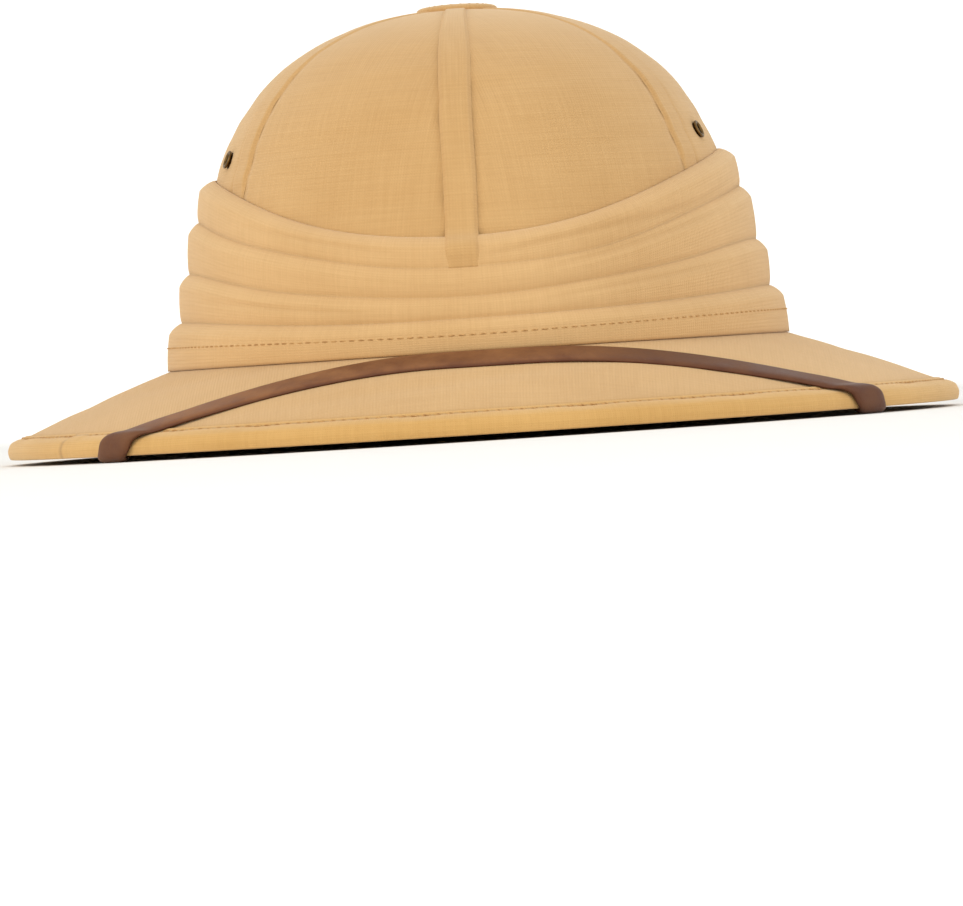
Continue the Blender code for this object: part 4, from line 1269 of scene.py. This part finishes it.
def make_binding():
    """A strip folded over the rim: a smooth section through the upper arm, the nose, the flat sole and the
    lower arm, closed by the strip's inner face."""
    t = turns(BINDING_COLUMNS)
    border = brim_inset(t, BINDING_WIDTH)
    near = brim_inset(t, BINDING_WIDTH - BINDING_EDGE)
    groove = brim_inset(t, BINDING_WIDTH - BINDING_GROOVE)
    crest = brim_inset(t, BINDING_WIDTH - BINDING_CREST)
    shoulder = brim_inset(t, BINDING_CLOTH)
    past_seam = centred(t - BINDING_SEAM, TAU) * BRIM_B
    lap = smooth_step(past_seam / LAP_RISE) * (1 - smooth_step((past_seam - LAP_LENGTH) / LAP_FALL))
    roll = waver(t * 4, CLOTH_WAVES) * 0.8 + LAP_STAND * lap
    keys = np.stack([
        brim_point(t, border, BINDING_PROUD - 0.8 * MM),
        brim_point(t, border, BINDING_PROUD - 0.15 * MM),
        brim_point(t, near, BINDING_PROUD + 0.1 * MM),
        brim_point(t, groove, BINDING_PROUD - 0.1 * MM + roll),
        brim_point(t, crest, BINDING_PROUD + 0.15 * MM + roll),
        brim_point(t, shoulder, BINDING_PROUD + 0.05 * MM),
        rim_point(t, -0.3 * BINDING_CLOTH, RIM_HEIGHT - 0.3 * BINDING_CLOTH),
        rim_point(t, 0.1 * MM, NOSE_HEIGHT + 0.4 * MM),
        rim_point(t, -0.2 * SOLE_INSET, 0.4 * NOSE_HEIGHT),
        rim_point(t, -SOLE_INSET, 0.0),
        rim_point(t, -SOLE_INSET - SOLE_WIDTH, 0.0),
        brim_point(t, crest, BINDING_UNDER - 0.1 * MM),
        brim_point(t, groove, BINDING_UNDER + 0.1 * MM),
        brim_point(t, near, BINDING_UNDER - 0.05 * MM),
        brim_point(t, border, BINDING_UNDER + 0.3 * MM),
        brim_point(t, border, BINDING_UNDER + BINDING_CLOTH),
    ])
    outer = smooth_rows(keys, BINDING_STEPS)
    outer[..., 2] = np.maximum(outer[..., 2], LIFT)
    inner = np.stack([
        brim_point(t, shoulder, BINDING_UNDER + BINDING_CLOTH),
        brim_point(t, shoulder, BINDING_PROUD - BINDING_CLOTH),
        brim_point(t, border, BINDING_PROUD - BINDING_CLOTH),
    ])
    points = np.concatenate([outer, inner])
    # Painted shade: dark where both borders turn in, half dark in the stitched groove, and along the lap's
    # end
    crease = np.zeros(points.shape[:2])
    crease[:2] = 0.8
    crease[len(outer) - 6:len(outer)] = 1.0
    crease[11:14] = ((0.25,), (0.5,), (0.25,))
    crease[2:len(outer) - 6] += 0.55 * bell(past_seam - 0.2 * MM, 0.8 * MM)
    piece = grid_piece("rim_binding", points, BINDING_COTTON, tube=True, values={"crease": crease})
    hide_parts("edge_binding")
    angle = np.linspace(0, TAU, 1601)
    lines = []
    for inset, offset, side in (
        (BINDING_GROOVE, BINDING_PROUD - 0.1 * MM, 1.0),
        (BINDING_GROOVE_UNDER, BINDING_UNDER + 0.1 * MM, -1.0),
    ):
        s = brim_inset(angle, BINDING_WIDTH - inset)
        line = brim_point(angle, s, offset)
        lines.append((line, side * unit(brim_point(angle, s, offset + 1.0) - line)))
    make_stitches("brim_stitching", lines, **BRIM_STITCH)


# The chin strap

def taut_line(turn_left, turn_right):
    """The strap's middle line from above: straight from each turn to the crown's front, and round it."""
    stand = HEM_STAND + GAP + STRAP_WIDTH / 2
    a, b = CROWN_A + stand, CROWN_B + stand
    touch = []
    for turn in (turn_left, turn_right):
        x, y = turn[0] / a, -(turn[1] - CROWN_Y) / b
        lean = math.atan2(x, y)
        touch.append(lean - math.copysign(math.acos(1 / math.hypot(x, y)), lean))
    arc = np.linspace(touch[0], touch[1], 41)
    front = np.stack([a * np.sin(arc), CROWN_Y - b * np.cos(arc)], axis=1)
    return np.concatenate([[turn_left[:2]], front, [turn_right[:2]]])


def spread_along(line, count):
    """count points at even steps along a line."""
    along = lengths_along(line)
    return points_at(line, along, np.linspace(0, along[-1], count))


def rim_crossing(start, direction):
    """The angle on the rim where a level ray from inside meets it."""
    p = np.array([start[0] / BRIM_A, start[1] / BRIM_B])
    d = np.array([direction[0] / BRIM_A, direction[1] / BRIM_B])
    half, whole = p @ d, d @ d
    step = (-half + math.sqrt(half * half - whole * (p @ p - 1))) / whole
    x, y = p + step * d
    return math.atan2(x, -y)


TOP_STATIONS = 90
WRAP_STATIONS = 36
UNDER_STATIONS = 60


def strap_clearance(angle, s):
    """The strap lies close to the brim's cloth and rises to clear the binding over STRAP_CLIMB before it."""
    inset = (1 - s) * brim_width(angle)
    by_binding = 1 - smooth_step((inset - BINDING_WIDTH - 1 * MM) / STRAP_CLIMB)
    return STRAP_REST + (BINDING_PROUD + GAP - STRAP_REST) * by_binding


def strap_half(front, side, sign):
    """One edge of half the strap, from the crown's front out to the rim, round it and back below the brim, as
    its inner and outer faces. The turn is a superellipse about the rim, which moves along it as a helix."""
    heading = unit(front[-1] - front[-2])
    crossing = rim_crossing(front[-2], heading)
    edge_way = unit(vectors(BRIM_A * math.cos(crossing), BRIM_B * math.sin(crossing), 0.0))[:2] * sign
    lean = float(heading @ edge_way)
    inset = SOLE_INSET + SOLE_WIDTH
    stop = rim_point(crossing, -inset, 0.0)[:2]
    line = spread_along(np.concatenate([front[:-1], [stop]]), TOP_STATIONS)
    angle, s = brim_place(line[:, 0], line[:, 1])
    faces = []
    for extra in (0.0, STRAP_THICKNESS):
        over = brim_point(angle, s, strap_clearance(angle, s) + extra)
        share = np.linspace(0, 1, WRAP_STATIONS + 1)[1:]
        wrap_length = math.pi * (RIM_HEIGHT / 2 + STRAP_THICKNESS)
        advance = wrap_length * lean / math.sqrt(1 - lean * lean)
        speed = math.hypot(BRIM_A * math.cos(crossing), BRIM_B * math.sin(crossing))
        t = crossing + sign * share * advance / speed
        above = brim_point(t, brim_inset(t, inset), BINDING_PROUD + GAP + extra)
        below = rim_point(t, -inset, -STRAP_SOLE_GAP - extra)
        turn = math.pi * share
        up = np.sign(np.cos(turn)) * np.abs(np.cos(turn)) ** STRAP_SQUARENESS
        out = np.abs(np.sin(turn)) ** STRAP_SQUARENESS * (inset + STRAP_NOSE_GAP + extra)
        wrap = (above + below) / 2 + up[:, None] * (above - below) / 2 + out[:, None] * rim_outward(t)
        faces.append([over, wrap])
    start = faces[0][1][-1][:2]
    goal_angle = sign * math.radians(STRAP_END_ANGLE)
    goal = brim_point(goal_angle, brim_outset(goal_angle, STRAP_END_INSET))[:2]
    turn_angle = math.radians(STRAP_TURN_RIGHT if sign > 0 else STRAP_TURN_LEFT)
    middle_start = rim_point(turn_angle, -inset, 0.0)[:2]
    along = unit(goal - middle_start)
    beside = np.array([along[1], -along[0]])
    end = goal + along * STRAP_TAIL + beside * side * sign * STRAP_WIDTH
    line = spread_along(np.array([start, end]), UNDER_STATIONS + 1)[1:]
    angle, s = brim_place(line[:, 0], line[:, 1])
    for face, extra in zip(faces, (0.0, STRAP_THICKNESS)):
        face.append(brim_point(angle, s, BINDING_UNDER - GAP - extra))
    return [np.concatenate(face) for face in faces]


def soften(line, times):
    """A line whose inner points are moved to the mean of their neighbours, several times over."""
    for _ in range(times):
        line = np.concatenate([line[:1], (line[:-2] + 2 * line[1:-1] + line[2:]) / 4, line[-1:]])
    return line


# The strap's section is a superellipse: its powers across and upwards, and what is trimmed off each edge as a
# share of the width
STRAP_SECTION = 32
STRAP_POWER_ACROSS = 4.2
STRAP_POWER_UP = 2.6
STRAP_TRIM = 0.03

# How dark the burnished edges are, and from which share of the half width on; the painted shade round the
# bends, which fades over a few stations; and the painted shadow over the strap's +X side, how dark it is,
# from which x it begins and over what length it deepens
EDGE_SHADE = 0.8
EDGE_FROM = 0.86
BEND_PAINTED_SHADE = 0.5
BEND_FADE = 8
PAINTED_SIDE_SHADOW = 0.6
PAINTED_SIDE_SHADOW_FROM = 15 * MM
PAINTED_SIDE_SHADOW_OVER = 45 * MM


def make_strap():
    """A flat band of leather. At each station its section is a superellipse between the four corners that
    strap_half gives, thick in the middle and rounded at both edges. It is darker along its burnished edges,
    with painted shade round its bends and a painted shadow over its +X side."""
    left = rim_point(math.radians(STRAP_TURN_LEFT), 0.0, 0.0)
    right = rim_point(math.radians(STRAP_TURN_RIGHT), 0.0, 0.0)
    middle = taut_line(left, right)
    ahead = np.gradient(middle, axis=0)
    beside = unit(np.stack([-ahead[:, 1], ahead[:, 0]], axis=1))
    centre = len(middle) // 2
    corners = {}
    for side in (-0.5, 0.5):
        line = middle + side * STRAP_WIDTH * beside
        halves = [strap_half(line[centre::-1], side, -1), strap_half(line[centre:], side, 1)]
        for layer in (0, 1):
            whole = np.concatenate([halves[0][layer][:0:-1], halves[1][layer]])
            corners[side, layer] = soften(whole, 3)
    p = turns(STRAP_SECTION)
    across = np.sign(np.cos(p)) * np.abs(np.cos(p)) ** (2 / STRAP_POWER_ACROSS)
    raised = np.clip(np.sin(p), 0, 1) ** (2 / STRAP_POWER_UP)
    x = (0.5 + (0.5 - STRAP_TRIM) * across)[None, :, None]
    z = raised[None, :, None]
    under = corners[-0.5, 0][:, None] * (1 - x) + corners[0.5, 0][:, None] * x
    over = corners[-0.5, 1][:, None] * (1 - x) + corners[0.5, 1][:, None] * x
    loops = under * (1 - z) + over * z
    edge = EDGE_SHADE * np.clip((np.abs(across) - EDGE_FROM) / (1 - EDGE_FROM), 0, 1) ** 1.5
    # Painted shade round the bends, and a painted shadow darkening towards +X
    station = np.abs(np.arange(len(loops)) - len(loops) // 2)
    into_bend = smooth_step((station - TOP_STATIONS + BEND_FADE - 1) / BEND_FADE)
    out_of_bend = smooth_step((TOP_STATIONS + WRAP_STATIONS - station) / BEND_FADE)
    bend_shade = BEND_PAINTED_SHADE * (into_bend * out_of_bend)[:, None]
    side_shadow = PAINTED_SIDE_SHADOW * smooth_step((loops[..., 0] - PAINTED_SIDE_SHADOW_FROM) / PAINTED_SIDE_SHADOW_OVER)
    shade = np.maximum(edge[None], np.maximum(bend_shade, side_shadow))
    piece = strip_piece("leather_chin_strap", loops, LEATHER, {"edge": shade})
    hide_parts("chin_strap")


# Metal fittings

def turned_piece(name, profile, place, steps, closed):
    """A profile of (radius, height) pairs turned about Z and set at a place. A closed one leaves a hole."""
    t = turns(steps)
    r, h = np.array(profile).T
    points = vectors(r[:, None] * np.cos(t), r[:, None] * np.sin(t), h[:, None] + 0 * t)
    matrix = np.array(place)
    points = points @ matrix[:3, :3].T + matrix[:3, 3]
    piece = grid_piece(name, points, BRASS, tube=closed)
    return piece


def seat_matrix(point, normal):
    """The place that sets a turned piece's foot on a point, with its axis along the normal."""
    turn = Vector(normal).to_track_quat("Z", "Y").to_matrix().to_4x4()
    return Matrix.Translation(Vector(point)) @ turn


def make_eyelets():
    """Stamped eyelets: a rolled rim, half a circle in section, a straight barrel and a turned-out tail."""
    bend = np.linspace(math.pi * 0.12, math.pi, 16)
    middle = (EYELET_HOLE + EYELET_FLANGE_RADIUS) / 2
    half = (EYELET_FLANGE_RADIUS - EYELET_HOLE) / 2
    rim = [(middle + half * math.cos(a), EYELET_FLANGE * (0.1 + 0.9 * math.sin(a) ** 0.8)) for a in bend]
    wall = [(EYELET_HOLE, h) for h in np.linspace(-0.2 * MM, EYELET_TAIL + 0.3 * MM, 10)]
    back = [(EYELET_BARREL, h) for h in np.linspace(EYELET_TAIL, -0.1 * MM, 8)]
    under = [(EYELET_BARREL + 0.2 * MM, 0.0), (EYELET_FLANGE_RADIUS - 0.15 * MM, 0.0)]
    profile = rim + wall + [(EYELET_HOLE + 0.1 * MM, EYELET_TAIL)] + back + under
    for k, (seat, out) in enumerate(zip(*eyelet_seats())):
        place = seat_matrix(seat + EYELET_SEAT * out, out)
        piece = turned_piece(f"vent_eyelet_{k + 1}", profile, place, 64, closed=True)
        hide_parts(f"eyelet_{k + 1}")


def make_pins():
    """Plain pins: a low domed head against the strap and a shank up into the brim's board."""
    head_top = BINDING_UNDER - GAP - STRAP_THICKNESS - GAP
    bend = np.linspace(0, math.pi / 2, 14)
    profile = [
        (0.0, BOARD_TOP - GAP),
        (PIN_RADIUS - 0.1 * MM, BOARD_TOP - GAP),
        (PIN_RADIUS, BOARD_TOP - 2 * GAP),
        (PIN_RADIUS, head_top),
        (PIN_HEAD_RADIUS - 0.15 * MM, head_top),
        *[(PIN_HEAD_RADIUS * math.cos(a) ** 0.6, head_top - PIN_HEAD * (0.35 + 0.65 * math.sin(a)))
          for a in bend[:-1]],
        (0.0, head_top - PIN_HEAD),
    ]
    for side, sign in (("left", -1), ("right", 1)):
        angle = sign * math.radians(STRAP_END_ANGLE)
        s = brim_outset(angle, STRAP_END_INSET)
        point = brim_point(angle, s)
        place = seat_matrix(point, brim_point(angle, s, 1.0) - point)
        piece = turned_piece(f"strap_pin_head_{side}", profile, place, 48, closed=False)
        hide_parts(f"strap_pin_{side}")


# Studio

# The background paper, in metres: how far it lies level in front, behind and to the sides, the radius of its
# sweeps, how high it rises behind, and how high at the sides
PAPER_FRONT = 4.0
PAPER_BACK = 4.0
PAPER_SIDE = 5.0
SWEEP_RADIUS = 2.0
PAPER_TOP = 7.0
SIDE_RISE = 1.2


def make_floor():
    """A seamless sweep: level under the helmet, rising behind it as a quarter circle and at both sides as a
    low one."""
    bend = np.linspace(0, math.pi / 2, 24)
    wall = PAPER_BACK + SWEEP_RADIUS
    y = np.concatenate([[-PAPER_FRONT], PAPER_BACK + SWEEP_RADIUS * np.sin(bend), [wall]])
    z = np.concatenate([[0.0], SWEEP_RADIUS * (1 - np.cos(bend)), [PAPER_TOP]])
    side = PAPER_SIDE + SWEEP_RADIUS * np.sin(bend)
    side_rise = SIDE_RISE * (1 - np.cos(bend))
    x = np.concatenate([-side[::-1], side])
    x_rise = np.concatenate([side_rise[::-1], side_rise])
    points = vectors(x[None], y[:, None], z[:, None] + x_rise[None])
    mesh = bpy.data.meshes.new("background_sweep")
    r, c = corner_numbers(len(y), len(x), False, False)
    mesh.from_pydata(points.reshape(-1, 3).tolist(), [], (r * len(x) + c).tolist())
    mesh.shade_smooth()
    mesh.materials.append(PAPER)
    sweep = placed("background_sweep", mesh)


# Round area lights: where each stands, its width in metres and its power in watts. They aim at the helmet,
# where the table gives no other aim.
HELMET = (0, 0, 0.05)
LIGHTS = (
    {"name": "key", "place": (-2.1, -1.3, 1.0), "size": 1.6, "power": 21, "colour": "#fff9ef"},
    {"name": "fill", "place": (2.2, -1.2, 0.8), "size": 1.6, "power": 15, "colour": "#f8faff"},
    {"name": "front", "place": (-0.4, -2.3, 1.1), "size": 1.4, "power": 9, "colour": "#fffdf8"},
    {"name": "top", "place": (0.2, 0.6, 2.2), "size": 1.6, "power": 3, "colour": "#ffffff"},
    {"name": "backdrop", "place": (0.0, 1.8, 2.6), "size": 1.6, "power": 90, "colour": "#ffffff",
     "aim": (0.0, 6.0, 0.9)},
)
ROOM_COLOUR = "#fbfbfa"
ROOM_STRENGTH = 0.86


def soft_light(name, place, size, power, colour, aim=HELMET):
    """A round area light that stands at one place and aims at another."""
    lamp = bpy.data.lights.new(name, "AREA")
    lamp.shape = "DISK"
    lamp.size = size
    lamp.energy = power
    lamp.color = linear(colour)[:3]
    holder = placed(name, lamp)
    holder.location = place
    holder.rotation_euler = (Vector(aim) - Vector(place)).to_track_quat("-Z", "Y").to_euler()


# The picture's frame is 963 by 906 pixels. One millimetre at the helmet's middle, 2 m away, is 3.162 pixels.
CAMERA_DISTANCE = 2.0
CAMERA_HEIGHT = 0.020
CAMERA_AZIMUTH = math.radians(1.5)
CAMERA_ROLL = math.radians(-3.7)
CAMERA_AIM = Vector((-0.0014, 0.0, -0.0056))
LENS_MM = 236.5


def make_camera():
    """The camera stands level with the brim, just above the floor, and is rolled as the photograph is."""
    camera = bpy.data.cameras.new("camera")
    camera.lens = LENS_MM
    camera.sensor_width = 36
    camera.clip_start = 0.05
    camera.clip_end = 50
    holder = placed("camera", camera)
    place = Vector((
        CAMERA_DISTANCE * math.sin(CAMERA_AZIMUTH),
        -CAMERA_DISTANCE * math.cos(CAMERA_AZIMUTH),
        CAMERA_HEIGHT,
    ))
    look = (CAMERA_AIM - place).to_track_quat("-Z", "Y").to_matrix().to_4x4()
    holder.matrix_world = Matrix.Translation(place) @ look @ Matrix.Rotation(CAMERA_ROLL, 4, "Z")
    bpy.context.scene.camera = holder


def make_studio():
    """The camera, the paper, the lights and the pale light of the room."""
    make_camera()
    make_floor()
    for light in LIGHTS:
        soft_light(**light)
    world = bpy.data.worlds.new("studio")
    world.use_nodes = True
    feed(world.node_tree.nodes["Background"], {"Color": linear(ROOM_COLOUR), "Strength": ROOM_STRENGTH})
    bpy.context.scene.world = world
    bpy.context.scene.view_settings.view_transform = "Standard"


make_studio()
make_shell()
make_crown_cloth()
for seam in range(GORES):
    make_rib(seam)
make_button()
make_puggaree()
make_band_stitching()
make_brim_cover()
make_brim_lining()
make_binding()
make_strap()
make_eyelets()
make_pins()
